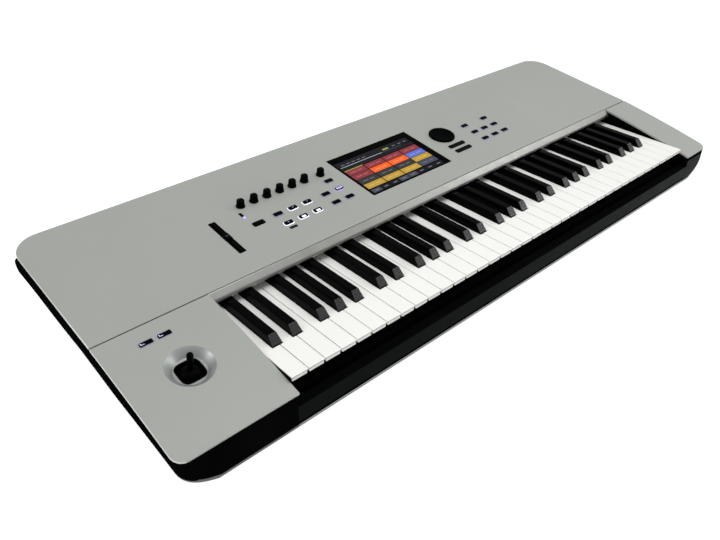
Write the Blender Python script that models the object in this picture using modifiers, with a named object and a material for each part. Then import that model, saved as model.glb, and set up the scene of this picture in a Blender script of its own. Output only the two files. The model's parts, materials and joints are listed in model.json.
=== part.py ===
"""Music workstation: a 61-key keyboard instrument with a sloping control panel.

Metres, +Z up. X runs along the keys, -Y is the player's side, and the origin is on
the floor under the middle of the instrument.
"""
import bpy
import bmesh
from math import atan, cos, pi, radians, sin
from mathutils import Matrix, Vector

# Overall size; the width follows from the end covers and the keys between them
DEPTH = 0.386
HEIGHT = 0.116
FOOT_HEIGHT = 0.005
LEFT_COVER_WIDTH = 0.1459
RIGHT_COVER_WIDTH = 0.06493

# Clearances
GAP = 0.0003
SEAT_GAP = 0.0005
KEY_GAP = 0.0010

# Panel: a flat plate that falls from the rear edge to a crease above the keys
PANEL_THICKNESS = 0.003
CREASE_Z = 0.0889
PANEL_CORNER_RADIUS = 0.036
NOSE_RADIUS = 0.010
NOSE_STEPS = 7

# End covers: they carry on from the crease to the front edge
COVER_THICKNESS = 0.003
COVER_LENGTH = 0.1706
COVER_FRONT_Z = 0.0548
COVER_CROWN = 0.0015
FRONT_CORNER_RADIUS = 0.014
COVER_OVERHANG = 0.0033

# Keys
OCTAVE = 0.165
WHITE_PER_OCTAVE = 7
OCTAVES = 5
KEY_SIDE_ROOM = 0.0013
KEY_TOP = 0.0645
KEY_SETBACK = 0.0152
KEY_BODY = 0.0145
KEY_LEVER = 0.1948
LIP_DEPTH = 0.0047
LIP_OVERHANG = 0.0120
LIP_SLOPE = 0.0004
KEY_EDGE = 0.0007
BLACK_SLOT = 0.0154
BLACK_SIDE_GAP = 0.0008
BLACK_SETBACK = 0.0530
BLACK_HEIGHT = 0.0110
BLACK_SINK = 0.0020
BLACK_STEM = 0.0096
BLACK_TOP_WIDTH = 0.0116
BLACK_FRONT_LEAN = 0.0120
BLACK_TAIL = 0.0070
WHITE_RAIL_GAP = 0.0010
WHITE_RAIL = 0.0070
BLACK_RAIL_RISE = 0.0020
BLACK_RAIL_HEIGHT = 0.0050
BLACK_RAIL_DEPTH = 0.0160
BEAD_RADIUS = 0.0030
SINGLE_OCTAVE = 2
KEY_DIP = 0.0100

# Keybed: the folded frame under the keys, and the board with their contact strips
FRAME_SHEET = 0.0016
FRAME_SETBACK = 0.0060
FRAME_RAIL_DEPTH = 0.0200
FRAME_RAIL_CLEAR = 0.0015
FRAME_FOLD = 0.0120
FRAME_FOLD_RUN = 0.0200
CONTACT_SETBACK = 0.0798
CONTACT_DEPTH = 0.0460
CONTACT_STRIP = 0.0090
CONTACT_STRIP_HEIGHT = 0.0050
CONTACT_STAND = 0.0060
CONTACT_STANDS = 4

# Lower case
WALL = 0.003
SHEET = 0.002
REAR_INSET = 0.004
HULL_DROP = 0.005
HULL_REACH = 0.038
HULL_LEVELS = (0.0, 0.10, 0.26, 0.47, 0.72, 1.0)
HULL_POWER_FRONT = 3.0
HULL_POWER_REAR = 1.4
HULL_FAIR_START = 0.133
HULL_FAIR_RUN = 0.192
FLARE = 0.0045
FLARE_START = 0.213
FLARE_RUN = 0.138
FLARE_ROUND = 0.008
SOLE_CHAMFER = 0.0045
REAR_CORNER_LOW = 0.008
FRONT_CORNER_LOW = 0.006
SLIP_TOP = 0.037
SLIP_SHELF_DEPTH = 0.0125
SLIP_FACE_LOW = 0.0145
SLIP_STEP = 0.0015
FOOT_RADIUS = 0.011
FOOT_INSET_X = 0.161
FOOT_INSET_Y = 0.043

# Display
GLASS_X = 0.0005
GLASS_V = 0.0921
GLASS_WIDTH = 0.1665
GLASS_LENGTH = 0.1075
GLASS_THICKNESS = 0.0022
LCD_DEPTH = 0.0080
LCD_FLANGE = 0.005

# Controls, as distance along X and distance up the panel from the crease
KNOB_V = 0.1222
KNOB_FIRST_X = -0.2548
KNOB_PITCH = 0.0221
KNOB_COUNT = 6
TEMPO_X = -0.1141
KNOB_RADIUS = 0.0053
KNOB_SKIRT_RADIUS = 0.0066
KNOB_HEIGHT = 0.0113
KNOB_FLOAT = 0.0006
SHAFT_RADIUS = 0.0030
DIAL_X = 0.1284
DIAL_V = 0.1012
DIAL_RADIUS = 0.0217
DIAL_HEIGHT = 0.0036
SLIDER_X = -0.3075
SLIDER_V = 0.0765
SLIDER_SLOT_WIDTH = 0.0098
SLIDER_CAP_LENGTH = 0.0120
SLIDER_TRAVEL = 0.0300
SLIDER_STEM_WIDTH = 0.0030
SLIDER_CAP_HEIGHT = 0.0024
BUTTON_WIDTH = 0.0122
BUTTON_DEPTH = 0.0060
BUTTON_HEIGHT = 0.0016
BUTTON_PITCH = 0.0251
ROW_V = (0.0560, 0.0795, 0.1030)
LEFT_COLUMN_X = -0.2233
MIDDLE_COLUMN_X = -0.1389
RIGHT_COLUMN_X = 0.1877
SELECT_X = -0.2564
SELECT_V = 0.0776
SELECT_WIDTH = 0.0172
SELECT_DEPTH = 0.0078
WIDE_X = 0.1290
WIDE_V = (0.0529, 0.0678)
WIDE_WIDTH = 0.0345
WIDE_DEPTH = 0.0073
BUTTON_TRAVEL = 0.0005
CARRIER_THICKNESS = 0.0010
CARRIER_MARGIN = 0.0020

# Boards under the panel
BOARD = 0.0016
BOARD_BELOW_PANEL = 0.0100
BOARD_FRONT_V = 0.0330
BOARD_MARGIN = 0.0100
BOARD_POST_INSET = 0.0050
LCD_BOARD_GAP = 0.0030
SWITCH_SIZE = 0.0060
POT_SIZE = 0.0096
POST_RADIUS = 0.0030

# Joystick
STICK_FROM_END = 0.0730
STICK_FROM_FRONT = 0.0925
BOWL_RADIUS = 0.0274
BOWL_FOOT_RADIUS = 0.0186
BOWL_DEPTH = 0.0090
BOWL_WALL = 0.0015
APERTURE = 0.0262
APERTURE_CORNER = 0.006
HOUSING = 0.044
HOUSING_DEPTH = 0.026
HOUSING_WALL = 0.003
STICK_RADIUS = 0.0037
STICK_HEIGHT = 0.0185
STICK_PIVOT_DEPTH = 0.0210
GIMBAL_OUTER = 0.0300
GIMBAL_INNER = 0.0200
GIMBAL_HEIGHT = 0.0070
DOME_RADIUS = 0.0125
DOME_ANGLES = (20, 32, 45)
AXLE_RADIUS = 0.0020
SWITCH_FROM_END = 0.0514
SWITCH_PITCH = 0.0223
SWITCH_FROM_CREASE = 0.0262
SWITCH_PLATE_FRONT = -0.0240
STICK_SWITCH_WIDTH = 0.0156
STICK_SWITCH_DEPTH = 0.0052

# Circuits on the floor, with the power inlet and the power button that reach the rear panel
REAR_PLATE = 0.002
REAR_CLEAR = 0.0110
MAIN_BOARD_LEFT = -0.210
MAIN_BOARD_WIDTH = 0.440
MAIN_BOARD_DEPTH = 0.114
SUPPLY_WIDTH = 0.150
SUPPLY_DEPTH = 0.108
SUPPLY_CLEAR = 0.029
STANDOFF = 0.008
STANDOFF_INSET = 0.008
INLET_WIDTH = 0.0248
INLET_HEIGHT = 0.0168
INLET_DEPTH = 0.0220
INLET_WALL = 0.0030
INLET_INSET = 0.070
POWER_INSET = 0.032
POWER_Z = 0.0600
POWER_SIZE = 0.0120
POWER_DEPTH = 0.0160
POWER_STANDS_OUT = 0.0030
POWER_TRAVEL = 0.0020
SWITCH_BODY = 0.0160

# Worked out from the sizes above
SLIDER_SLOT_LENGTH = SLIDER_CAP_LENGTH + 2 * (SLIDER_TRAVEL + SEAT_GAP)
WHITE_PITCH = OCTAVE / WHITE_PER_OCTAVE
KEYS_WIDTH = WHITE_PITCH * (OCTAVES * WHITE_PER_OCTAVE + 1)
HALF_WIDTH = (LEFT_COVER_WIDTH + RIGHT_COVER_WIDTH + KEYS_WIDTH + 2 * KEY_SIDE_ROOM) / 2
FRONT_Y = -DEPTH / 2
REAR_Y = DEPTH / 2
BASE_Z = FOOT_HEIGHT
CREASE_Y = FRONT_Y + COVER_LENGTH
PANEL_TILT = atan((HEIGHT - CREASE_Z) / (REAR_Y - CREASE_Y))
PANEL_LENGTH = (REAR_Y - PANEL_THICKNESS * sin(PANEL_TILT) - CREASE_Y) / cos(PANEL_TILT)
COVER_LEFT_EDGE = LEFT_COVER_WIDTH - HALF_WIDTH
COVER_RIGHT_EDGE = HALF_WIDTH - RIGHT_COVER_WIDTH
KEYS_LEFT = COVER_LEFT_EDGE + KEY_SIDE_ROOM
KEYS_RIGHT = KEYS_LEFT + KEYS_WIDTH
BLOCK_LEFT_EDGE = COVER_LEFT_EDGE - COVER_OVERHANG
BLOCK_RIGHT_EDGE = COVER_RIGHT_EDGE + COVER_OVERHANG
BODY_LEFT = BLOCK_LEFT_EDGE + GAP
BODY_RIGHT = BLOCK_RIGHT_EDGE - GAP
KEY_FRONT = FRONT_Y + KEY_SETBACK
KEY_BOTTOM = KEY_TOP - KEY_BODY
LIP_UNDERSIDE = KEY_TOP - LIP_DEPTH
PIVOT_Y = KEY_FRONT + KEY_LEVER
PIVOT_Z = KEY_BOTTOM
BLACK_FRONT = KEY_FRONT + BLACK_SETBACK
BLACK_REAR = PIVOT_Y + BLACK_TAIL
BLACK_SHOULDER = KEY_TOP - BLACK_SINK
BLACK_RAIL_LOW = KEY_TOP + BLACK_RAIL_RISE
WHITE_RAIL_FRONT = BLACK_REAR + WHITE_RAIL_GAP
WHITE_REAR = WHITE_RAIL_FRONT + WHITE_RAIL
BLOCK_REAR = REAR_Y - REAR_INSET
FLOOR_TOP = BASE_Z + SHEET
STICK_X = STICK_FROM_END - HALF_WIDTH
STICK_Y = FRONT_Y + STICK_FROM_FRONT
SWITCH_ONE_X = SWITCH_FROM_END - HALF_WIDTH
SWITCH_TWO_X = SWITCH_ONE_X + SWITCH_PITCH
SWITCH_Y = CREASE_Y - SWITCH_FROM_CREASE


def panel_z(y):
    """Height of the panel's top face at a place between the crease and the rear edge."""
    return CREASE_Z + (y - CREASE_Y) * (HEIGHT - CREASE_Z) / (REAR_Y - CREASE_Y)


def cover_z(y):
    """Height of an end cover's slightly crowned top face, from the crease to the front."""
    t = (CREASE_Y - y) / (CREASE_Y - FRONT_Y)
    return CREASE_Z + (COVER_FRONT_Z - CREASE_Z) * t + COVER_CROWN * 4 * t * (1 - t)


def top_z(y):
    return panel_z(y) if y > CREASE_Y else cover_z(y)


for leftover in list(bpy.data.objects):
    bpy.data.objects.remove(leftover)

parts = bpy.data.collections.new("music_workstation")
cutters = bpy.data.collections.new("cutters")
bpy.context.scene.collection.children.link(parts)
bpy.context.scene.collection.children.link(cutters)


def finish(name, colour, roughness, metallic=0.0):
    material = bpy.data.materials.new(name)
    material.use_nodes = True
    shader = material.node_tree.nodes["Principled BSDF"]
    shader.inputs["Base Color"].default_value = (*colour, 1.0)
    shader.inputs["Roughness"].default_value = roughness
    shader.inputs["Metallic"].default_value = metallic
    return material


PANEL_GREY = finish("panel_grey_paint", (0.36, 0.39, 0.37), 0.45)
CASE_BLACK = finish("case_black_plastic", (0.012, 0.012, 0.013), 0.35)
KEY_WHITE = finish("key_white", (0.86, 0.87, 0.84), 0.25)
KEY_BLACK = finish("key_black", (0.010, 0.010, 0.011), 0.20)
KNOB_BLACK = finish("knob_black_rubber", (0.015, 0.015, 0.016), 0.60)
BUTTON_BLACK = finish("button_black", (0.020, 0.018, 0.025), 0.35)
GLASS_BLACK = finish("display_glass", (0.010, 0.010, 0.012), 0.06)
STEEL = finish("steel_sheet", (0.55, 0.56, 0.57), 0.40, 1.0)
BOWL_METAL = finish("bowl_metal", (0.60, 0.61, 0.60), 0.28, 0.8)
BOARD_GREEN = finish("circuit_board", (0.03, 0.16, 0.07), 0.50)
BLACK_STEEL = finish("black_steel", (0.012, 0.012, 0.012), 0.55)


def frame_empty(name, location, tilt):
    empty = bpy.data.objects.new(name, None)
    empty.location = location
    empty.rotation_euler = (tilt, 0.0, 0.0)
    parts.objects.link(empty)
    return empty


def cover_tilt(y):
    step = 0.001
    return atan((cover_z(y + step) - cover_z(y - step)) / (2 * step))


PANEL_FRAME = frame_empty("panel_frame", (0.0, CREASE_Y, CREASE_Z), PANEL_TILT)
STICK_FRAME = frame_empty("stick_frame", (STICK_X, STICK_Y, cover_z(STICK_Y)), cover_tilt(STICK_Y))
SWITCH_FRAME = frame_empty("switch_frame", (0.0, SWITCH_Y, cover_z(SWITCH_Y)), cover_tilt(SWITCH_Y))


def make_object(name, bm, material=None, parent=None, location=(0.0, 0.0, 0.0), smooth=False):
    """One named piece, or a hidden tool for a cut or a join where it has no material."""
    mesh = bpy.data.meshes.new(name)
    bmesh.ops.recalc_face_normals(bm, faces=bm.faces)
    bm.to_mesh(mesh)
    bm.free()
    obj = bpy.data.objects.new(name, mesh)
    obj.location = location
    obj.parent = parent
    if material:
        mesh.materials.append(material)
        parts.objects.link(obj)
    else:
        obj.hide_render = True
        obj.display_type = "WIRE"
        cutters.objects.link(obj)
    if smooth:
        mesh.shade_smooth()
        mesh.set_sharp_from_angle(angle=radians(35))
    return obj


def combine(obj, tool, operation):
    modifier = obj.modifiers.new(tool.name, "BOOLEAN")
    modifier.operation = operation
    modifier.solver = "EXACT"
    modifier.object = tool


def cut(obj, tool):
    combine(obj, tool, "DIFFERENCE")


def fuse(obj, tool):
    combine(obj, tool, "UNION")


def add_box(bm, low, high):
    low, high = Vector(low), Vector(high)
    scale = Matrix.Diagonal((*(high - low), 1.0))
    bmesh.ops.create_cube(bm, size=1.0, matrix=Matrix.Translation((low + high) / 2) @ scale)


def add_rod(bm, start, end, radius, segments=12):
    """A round bar between two points."""
    start, end = Vector(start), Vector(end)
    turn = (end - start).to_track_quat("Z", "Y").to_matrix().to_4x4()
    bmesh.ops.create_cone(bm, cap_ends=True, segments=segments, radius1=radius, radius2=radius,
                          depth=(end - start).length, matrix=Matrix.Translation((start + end) / 2) @ turn)


def boxes(name, corners, material=None, parent=None):
    bm = bmesh.new()
    for low, high in corners:
        add_box(bm, low, high)
    return make_object(name, bm, material, parent)


def rods(name, bars, material=None, parent=None, segments=12):
    bm = bmesh.new()
    for start, end, radius in bars:
        add_rod(bm, start, end, radius, segments)
    return make_object(name, bm, material, parent)


def loft(bm, rows, closed=True, capped=True):
    """Skin between rows that have as many points each; capped rows give a closed solid."""
    rings = [[bm.verts.new(point) for point in row] for row in rows]
    for low, high in zip(rings, rings[1:]):
        count = len(low)
        for i in range(count if closed else count - 1):
            j = (i + 1) % count
            bm.faces.new((low[i], low[j], high[j], high[i]))
    if capped:
        bm.faces.new(rings[0][::-1])
        bm.faces.new(rings[-1])
    return rings


def outline_mesh(name, points, low, high):
    """Flat outline made solid from one height to another, by a filled 2D curve."""
    curve = bpy.data.curves.new(name, "CURVE")
    curve.dimensions = "2D"
    curve.fill_mode = "BOTH"
    curve.extrude = (high - low) / 2
    spline = curve.splines.new("POLY")
    spline.points.add(len(points) - 1)
    for place, (x, y) in zip(spline.points, points):
        place.co = (x, y, 0.0, 1.0)
    spline.use_cyclic_u = True
    holder = bpy.data.objects.new(name, curve)
    bpy.context.scene.collection.objects.link(holder)
    graph = bpy.context.evaluated_depsgraph_get()
    mesh = bpy.data.meshes.new_from_object(holder.evaluated_get(graph))
    bpy.data.objects.remove(holder)
    bm = bmesh.new()
    bm.from_mesh(mesh)
    bpy.data.meshes.remove(mesh)
    bmesh.ops.remove_doubles(bm, verts=bm.verts, dist=1e-6)
    bmesh.ops.dissolve_limit(bm, angle_limit=radians(0.1), verts=bm.verts, edges=bm.edges)
    bmesh.ops.translate(bm, verts=bm.verts, vec=(0.0, 0.0, (low + high) / 2))
    return bm


def plan_solid(name, points, low, high, material=None, parent=None):
    return make_object(name, outline_mesh(name, points, low, high), material, parent)


def side_solid(name, points, left, right, material=None, parent=None):
    """A (y, z) outline carried along X."""
    bm = outline_mesh(name, points, left, right)
    stand = Matrix(((0, 0, 1, 0), (1, 0, 0, 0), (0, 1, 0, 0), (0, 0, 0, 1)))
    bmesh.ops.transform(bm, matrix=stand, verts=bm.verts)
    return make_object(name, bm, material, parent)


def turned(name, profile, steps, material=None, parent=None, location=(0.0, 0.0, 0.0)):
    """A (radius, height) profile, outer side from top to bottom, spun about local Z."""
    bm = bmesh.new()
    points = [bm.verts.new((radius, 0.0, height)) for radius, height in profile]
    for a, b in zip(points, points[1:]):
        bm.edges.new((a, b))
    obj = make_object(name, bm, material, parent, location)
    screw = obj.modifiers.new("turn", "SCREW")
    screw.steps = steps
    screw.render_steps = steps
    screw.use_merge_vertices = True
    screw.merge_threshold = 0.00001
    return obj


def arc(centre, radius, start, end, steps):
    """Points of an arc; angles in degrees, anticlockwise from +X."""
    return [(centre[0] + radius * cos(radians(start + (end - start) * k / steps)),
             centre[1] + radius * sin(radians(start + (end - start) * k / steps)))
            for k in range(steps + 1)]


def rounded_box(width, depth, radius, centre=(0.0, 0.0), steps=4):
    points = []
    for sx, sy, start in ((1, -1, 270), (1, 1, 0), (-1, 1, 90), (-1, -1, 180)):
        corner = (centre[0] + sx * (width / 2 - radius), centre[1] + sy * (depth / 2 - radius))
        points += arc(corner, radius, start, start + 90, steps)
    return points


def hull_inset(y, level):
    """How far the hull's side has drawn in; it is fuller at the front than at the rear."""
    along = min(max((y - FRONT_Y - HULL_FAIR_START) / HULL_FAIR_RUN, 0.0), 1.0)
    power = HULL_POWER_FRONT + (HULL_POWER_REAR - HULL_POWER_FRONT) * along
    return HULL_REACH * (1.0 - level) ** power


def hull_flare(y):
    """How far the hull stands out from the panel's edge: it grows to the rear and ends in a round tip."""
    along = (y - FRONT_Y - FLARE_START) / FLARE_RUN
    past = (along - 1.0) * FLARE_RUN / FLARE_ROUND
    if past > 0.0:
        return FLARE * (1.0 - min(past, 1.0) ** 2) ** 0.5
    return FLARE * max(along, 0.0)


def end_block(name, side, inner):
    """Hull-shaped end moulding: an open-topped shell whose outer side curves in underneath."""
    span = HALF_WIDTH - abs(inner)
    rear_station = BLOCK_REAR - PANEL_CORNER_RADIUS
    stations = [CREASE_Y + (FRONT_Y - CREASE_Y) * k / 4 for k in (3, 2, 1, 0)]
    stations += [CREASE_Y + (rear_station - CREASE_Y) * k / 4 for k in (1, 2, 3)]

    def row(level, rim):
        front = FRONT_Y + SOLE_CHAMFER * (level == HULL_LEVELS[0])
        near = FRONT_CORNER_LOW + (FRONT_CORNER_RADIUS - FRONT_CORNER_LOW) * level
        far = REAR_CORNER_LOW + (PANEL_CORNER_RADIUS - REAR_CORNER_LOW) * max(0.0, 2 * level - 1)
        near_reach = hull_inset(front + near, level)
        far_reach = hull_inset(BLOCK_REAR - far, level)
        plan = [(span, front)]
        plan += arc((near + near_reach, front + near), near, 270, 180, 4)
        plan += [(hull_inset(y, level), y) for y in stations]
        plan += arc((far + far_reach, BLOCK_REAR - far), far, 180, 90, 6)
        plan += [(span, BLOCK_REAR), (span, rear_station)]
        plan += [(span, y) for y in reversed(stations)]
        points = []
        for inset, y in plan:
            under = top_z(min(y, BLOCK_REAR - WALL)) - COVER_THICKNESS - SEAT_GAP
            z = under if rim else BASE_Z + (under - HULL_DROP - BASE_Z) * level
            flare = hull_flare(y) if inset < span else 0.0
            points.append((side * (HALF_WIDTH + flare - inset), y, z))
        return points

    bm = bmesh.new()
    rows = [row(level, False) for level in HULL_LEVELS] + [row(HULL_LEVELS[-1], True)]
    rings = loft(bm, rows, capped=False)
    bm.faces.new(rings[0])
    block = make_object(name, bm, CASE_BLACK)
    shell = block.modifiers.new("wall", "SOLIDIFY")
    shell.thickness = WALL
    shell.offset = -1.0
    shell.use_even_offset = True
    return block


def end_cover(name, side, inner):
    """Sheet over an end block, from the crease to the front, with a rounded outer corner."""
    radius = FRONT_CORNER_RADIUS
    corner = arc((radius, FRONT_Y + radius), radius, 270, 180, 5)
    stations = [CREASE_Y - GAP + (FRONT_Y + radius - CREASE_Y) * k / 5 for k in range(5)]
    outline = [(0.0, y) for y in stations] + corner[::-1]
    rows = [[(side * (HALF_WIDTH - inset), y, cover_z(y)), (inner, y, cover_z(y))]
            for inset, y in outline]
    bm = bmesh.new()
    loft(bm, rows, closed=False, capped=False)
    bmesh.ops.recalc_face_normals(bm, faces=bm.faces)
    if sum(face.normal.z for face in bm.faces) < 0:
        bmesh.ops.reverse_faces(bm, faces=bm.faces)
    cover = make_sheet(name, bm, PANEL_GREY)
    shell = cover.modifiers.new("sheet", "SOLIDIFY")
    shell.thickness = COVER_THICKNESS
    shell.offset = -1.0
    return cover


def make_sheet(name, bm, material, parent=None):
    """A piece that starts as an open surface, whose faces keep the side they look to."""
    mesh = bpy.data.meshes.new(name)
    bm.to_mesh(mesh)
    bm.free()
    mesh.materials.append(material)
    obj = bpy.data.objects.new(name, mesh)
    obj.parent = parent
    parts.objects.link(obj)
    return obj


left_block = end_block("left_block", -1, BLOCK_LEFT_EDGE)
right_block = end_block("right_block", 1, BLOCK_RIGHT_EDGE)
left_cover = end_cover("left_cover", -1, COVER_LEFT_EDGE)
right_cover = end_cover("right_cover", 1, COVER_RIGHT_EDGE)


def panel_sheet():
    """Panel plate with round rear corners and a nose that rolls down above the keys."""
    radius = PANEL_CORNER_RADIUS
    outline = [(-HALF_WIDTH, 0.0), (COVER_LEFT_EDGE + GAP, 0.0), (COVER_RIGHT_EDGE - GAP, 0.0),
               (HALF_WIDTH, 0.0)]
    outline += arc((HALF_WIDTH - radius, PANEL_LENGTH - radius), radius, 0, 90, 8)
    outline += arc((radius - HALF_WIDTH, PANEL_LENGTH - radius), radius, 90, 180, 8)
    bm = bmesh.new()
    verts = [bm.verts.new((x, v, 0.0)) for x, v in outline]
    bm.faces.new(verts)
    edge = bm.edges.get((verts[1], verts[2]))
    turn = Matrix.Rotation(pi / 2 / NOSE_STEPS, 4, "X")
    for _ in range(NOSE_STEPS):
        grown = bmesh.ops.extrude_edge_only(bm, edges=[edge])["geom"]
        moved = [item for item in grown if isinstance(item, bmesh.types.BMVert)]
        bmesh.ops.rotate(bm, verts=moved, cent=(0.0, 0.0, -NOSE_RADIUS), matrix=turn)
        edge = next(item for item in grown if isinstance(item, bmesh.types.BMEdge)
                    and all(vert in moved for vert in item.verts))
    bmesh.ops.recalc_face_normals(bm, faces=bm.faces)
    if max(bm.faces, key=lambda face: face.calc_area()).normal.z < 0:
        bmesh.ops.reverse_faces(bm, faces=bm.faces)
    return bm


top_panel = make_sheet("top_panel", panel_sheet(), PANEL_GREY, PANEL_FRAME)
plate = top_panel.modifiers.new("plate", "SOLIDIFY")
plate.thickness = PANEL_THICKNESS
plate.offset = -1.0
plate.use_even_offset = True


def slab(x, v, width, depth, low, high):
    """Corners of a box in a tilted frame, centred on (x, v)."""
    return ((x - width / 2, v - depth / 2, low), (x + width / 2, v + depth / 2, high))


PANEL_HOLES = []
PANEL_SHAFT_HOLES = []
PANEL_UNDER = -PANEL_THICKNESS
THROUGH = 0.002


def panel_hole(x, v, width, depth):
    PANEL_HOLES.append(slab(x, v, width + 2 * GAP, depth + 2 * GAP, PANEL_UNDER - THROUGH, THROUGH))


def panel_bore(x, v, radius):
    PANEL_SHAFT_HOLES.append(((x, v, PANEL_UNDER - THROUGH), (x, v, THROUGH), radius))


def button_strip(name, places, width=BUTTON_WIDTH, depth=BUTTON_DEPTH, height=BUTTON_HEIGHT):
    """Caps on one thin carrier under the panel; it moves square to the panel."""
    xs = [x for x, _ in places]
    vs = [v for _, v in places]
    carrier_top = PANEL_UNDER - BUTTON_TRAVEL
    middle = ((min(xs) + max(xs)) / 2, (min(vs) + max(vs)) / 2)
    carrier = slab(*middle, max(xs) - min(xs) + width + 2 * CARRIER_MARGIN,
                   max(vs) - min(vs) + depth + 2 * CARRIER_MARGIN,
                   carrier_top - CARRIER_THICKNESS, carrier_top)
    strip = boxes(name, [carrier], BUTTON_BLACK, PANEL_FRAME)
    caps = [slab(x, v, width, depth, carrier_top - CARRIER_THICKNESS / 2, height) for x, v in places]
    fuse(strip, boxes(name + "_caps", caps, parent=PANEL_FRAME))
    for x, v in places:
        panel_hole(x, v, width, depth)
        SWITCH_PLACES.append((x, v))
    return strip


SWITCH_PLACES = []
LEFT_COLUMNS = [LEFT_COLUMN_X + BUTTON_PITCH * k for k in range(3)]
MIDDLE_COLUMNS = [MIDDLE_COLUMN_X + BUTTON_PITCH * k for k in range(2)]
RIGHT_COLUMNS = [RIGHT_COLUMN_X + BUTTON_PITCH * k for k in range(3)]
FRONT_V, MIDDLE_V, REAR_V = ROW_V

button_strip("button_row_upper", [(x, MIDDLE_V) for x in LEFT_COLUMNS])
button_strip("button_row_lower", [(x, FRONT_V) for x in LEFT_COLUMNS])
button_strip("button_group_centre", [(MIDDLE_COLUMNS[1], REAR_V)]
             + [(x, v) for v in (MIDDLE_V, FRONT_V) for x in MIDDLE_COLUMNS])
button_strip("button_row_right_rear", [(RIGHT_COLUMNS[0], REAR_V), (RIGHT_COLUMNS[2], REAR_V)])
button_strip("button_row_right_middle", [(x, MIDDLE_V) for x in RIGHT_COLUMNS])
button_strip("button_row_right_front", [(x, FRONT_V) for x in RIGHT_COLUMNS])
button_strip("select_button", [(SELECT_X, SELECT_V)], SELECT_WIDTH, SELECT_DEPTH)
button_strip("decrement_button", [(WIDE_X, WIDE_V[0])], WIDE_WIDTH, WIDE_DEPTH)
button_strip("increment_button", [(WIDE_X, WIDE_V[1])], WIDE_WIDTH, WIDE_DEPTH)


def knob(name, x):
    """Tapered knob with a flared skirt, bored from below for its shaft."""
    bore = SHAFT_RADIUS + GAP
    low, high = KNOB_FLOAT, KNOB_HEIGHT
    profile = [(0.0, high), (KNOB_RADIUS * 0.80, high), (KNOB_RADIUS, high - 0.0009),
               (KNOB_RADIUS * 1.08, low + 0.0022), (KNOB_SKIRT_RADIUS, low + 0.0010),
               (KNOB_SKIRT_RADIUS, low), (bore, low), (bore, high - 0.0030), (0.0, high - 0.0030)]
    panel_bore(x, KNOB_V, bore)
    return turned(name, profile, 16, KNOB_BLACK, PANEL_FRAME, (x, KNOB_V, 0.0))


KNOB_PLACES = [KNOB_FIRST_X + KNOB_PITCH * k for k in range(KNOB_COUNT)]
for number, place in enumerate(KNOB_PLACES, 1):
    knob(f"knob_{number}", place)
knob("tempo_knob", TEMPO_X)

dial_bore = SHAFT_RADIUS + GAP
turned("value_dial",
       [(0.0, DIAL_HEIGHT - 0.0012), (DIAL_RADIUS * 0.60, DIAL_HEIGHT - 0.0007),
        (DIAL_RADIUS * 0.90, DIAL_HEIGHT), (DIAL_RADIUS - 0.0003, DIAL_HEIGHT - 0.0006),
        (DIAL_RADIUS, DIAL_HEIGHT - 0.0014), (DIAL_RADIUS, KNOB_FLOAT),
        (dial_bore + 0.0022, KNOB_FLOAT), (dial_bore + 0.0022, PANEL_UNDER - 0.002),
        (dial_bore, PANEL_UNDER - 0.002), (dial_bore, DIAL_HEIGHT - 0.0030), (0.0, DIAL_HEIGHT - 0.0030)],
       32, KNOB_BLACK, PANEL_FRAME, (DIAL_X, DIAL_V, 0.0))
panel_bore(DIAL_X, DIAL_V, dial_bore + 0.0022 + GAP)

BOARD_TOP = PANEL_UNDER - BOARD_BELOW_PANEL
SLIDER_POT_TOP = PANEL_UNDER - 0.0040
cap_low = -PANEL_THICKNESS
slider = boxes("slider_cap", [slab(SLIDER_X, SLIDER_V, SLIDER_SLOT_WIDTH - 2 * GAP, SLIDER_CAP_LENGTH,
                                   cap_low, SLIDER_CAP_HEIGHT)], KNOB_BLACK, PANEL_FRAME)
fuse(slider, boxes("slider_stem", [slab(SLIDER_X, SLIDER_V, SLIDER_STEM_WIDTH, 0.0060,
                                        SLIDER_POT_TOP - 0.0020, cap_low + 0.001)], parent=PANEL_FRAME))
ridge = SLIDER_CAP_LENGTH / 2
cut(slider, boxes("slider_finger_dip", [
    slab(SLIDER_X, SLIDER_V + side * ridge * 0.55, SLIDER_SLOT_WIDTH, ridge * 0.5,
         SLIDER_CAP_HEIGHT - 0.0012, SLIDER_CAP_HEIGHT + THROUGH) for side in (-1, 1)],
    parent=PANEL_FRAME))
panel_hole(SLIDER_X, SLIDER_V, SLIDER_SLOT_WIDTH, SLIDER_SLOT_LENGTH)

panel_hole(GLASS_X, GLASS_V, GLASS_WIDTH, GLASS_LENGTH)
cut(top_panel, boxes("panel_openings", PANEL_HOLES, parent=PANEL_FRAME))
cut(top_panel, rods("panel_bores", PANEL_SHAFT_HOLES, parent=PANEL_FRAME))

plan_solid("display_glass", rounded_box(GLASS_WIDTH, GLASS_LENGTH, 0.0008, (GLASS_X, GLASS_V), 2),
           -GLASS_THICKNESS, 0.0, GLASS_BLACK, PANEL_FRAME)

lcd_top = -GLASS_THICKNESS - GAP
flange_top = PANEL_UNDER - GAP
lcd = boxes("lcd_module", [slab(GLASS_X, GLASS_V, GLASS_WIDTH - 0.002, GLASS_LENGTH - 0.002,
                                flange_top - LCD_DEPTH, lcd_top)], STEEL, PANEL_FRAME)
fuse(lcd, boxes("lcd_flange", [slab(GLASS_X, GLASS_V, GLASS_WIDTH + 2 * LCD_FLANGE,
                                    GLASS_LENGTH + 2 * LCD_FLANGE, flange_top - 0.0015, flange_top)],
                parent=PANEL_FRAME))


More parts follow.
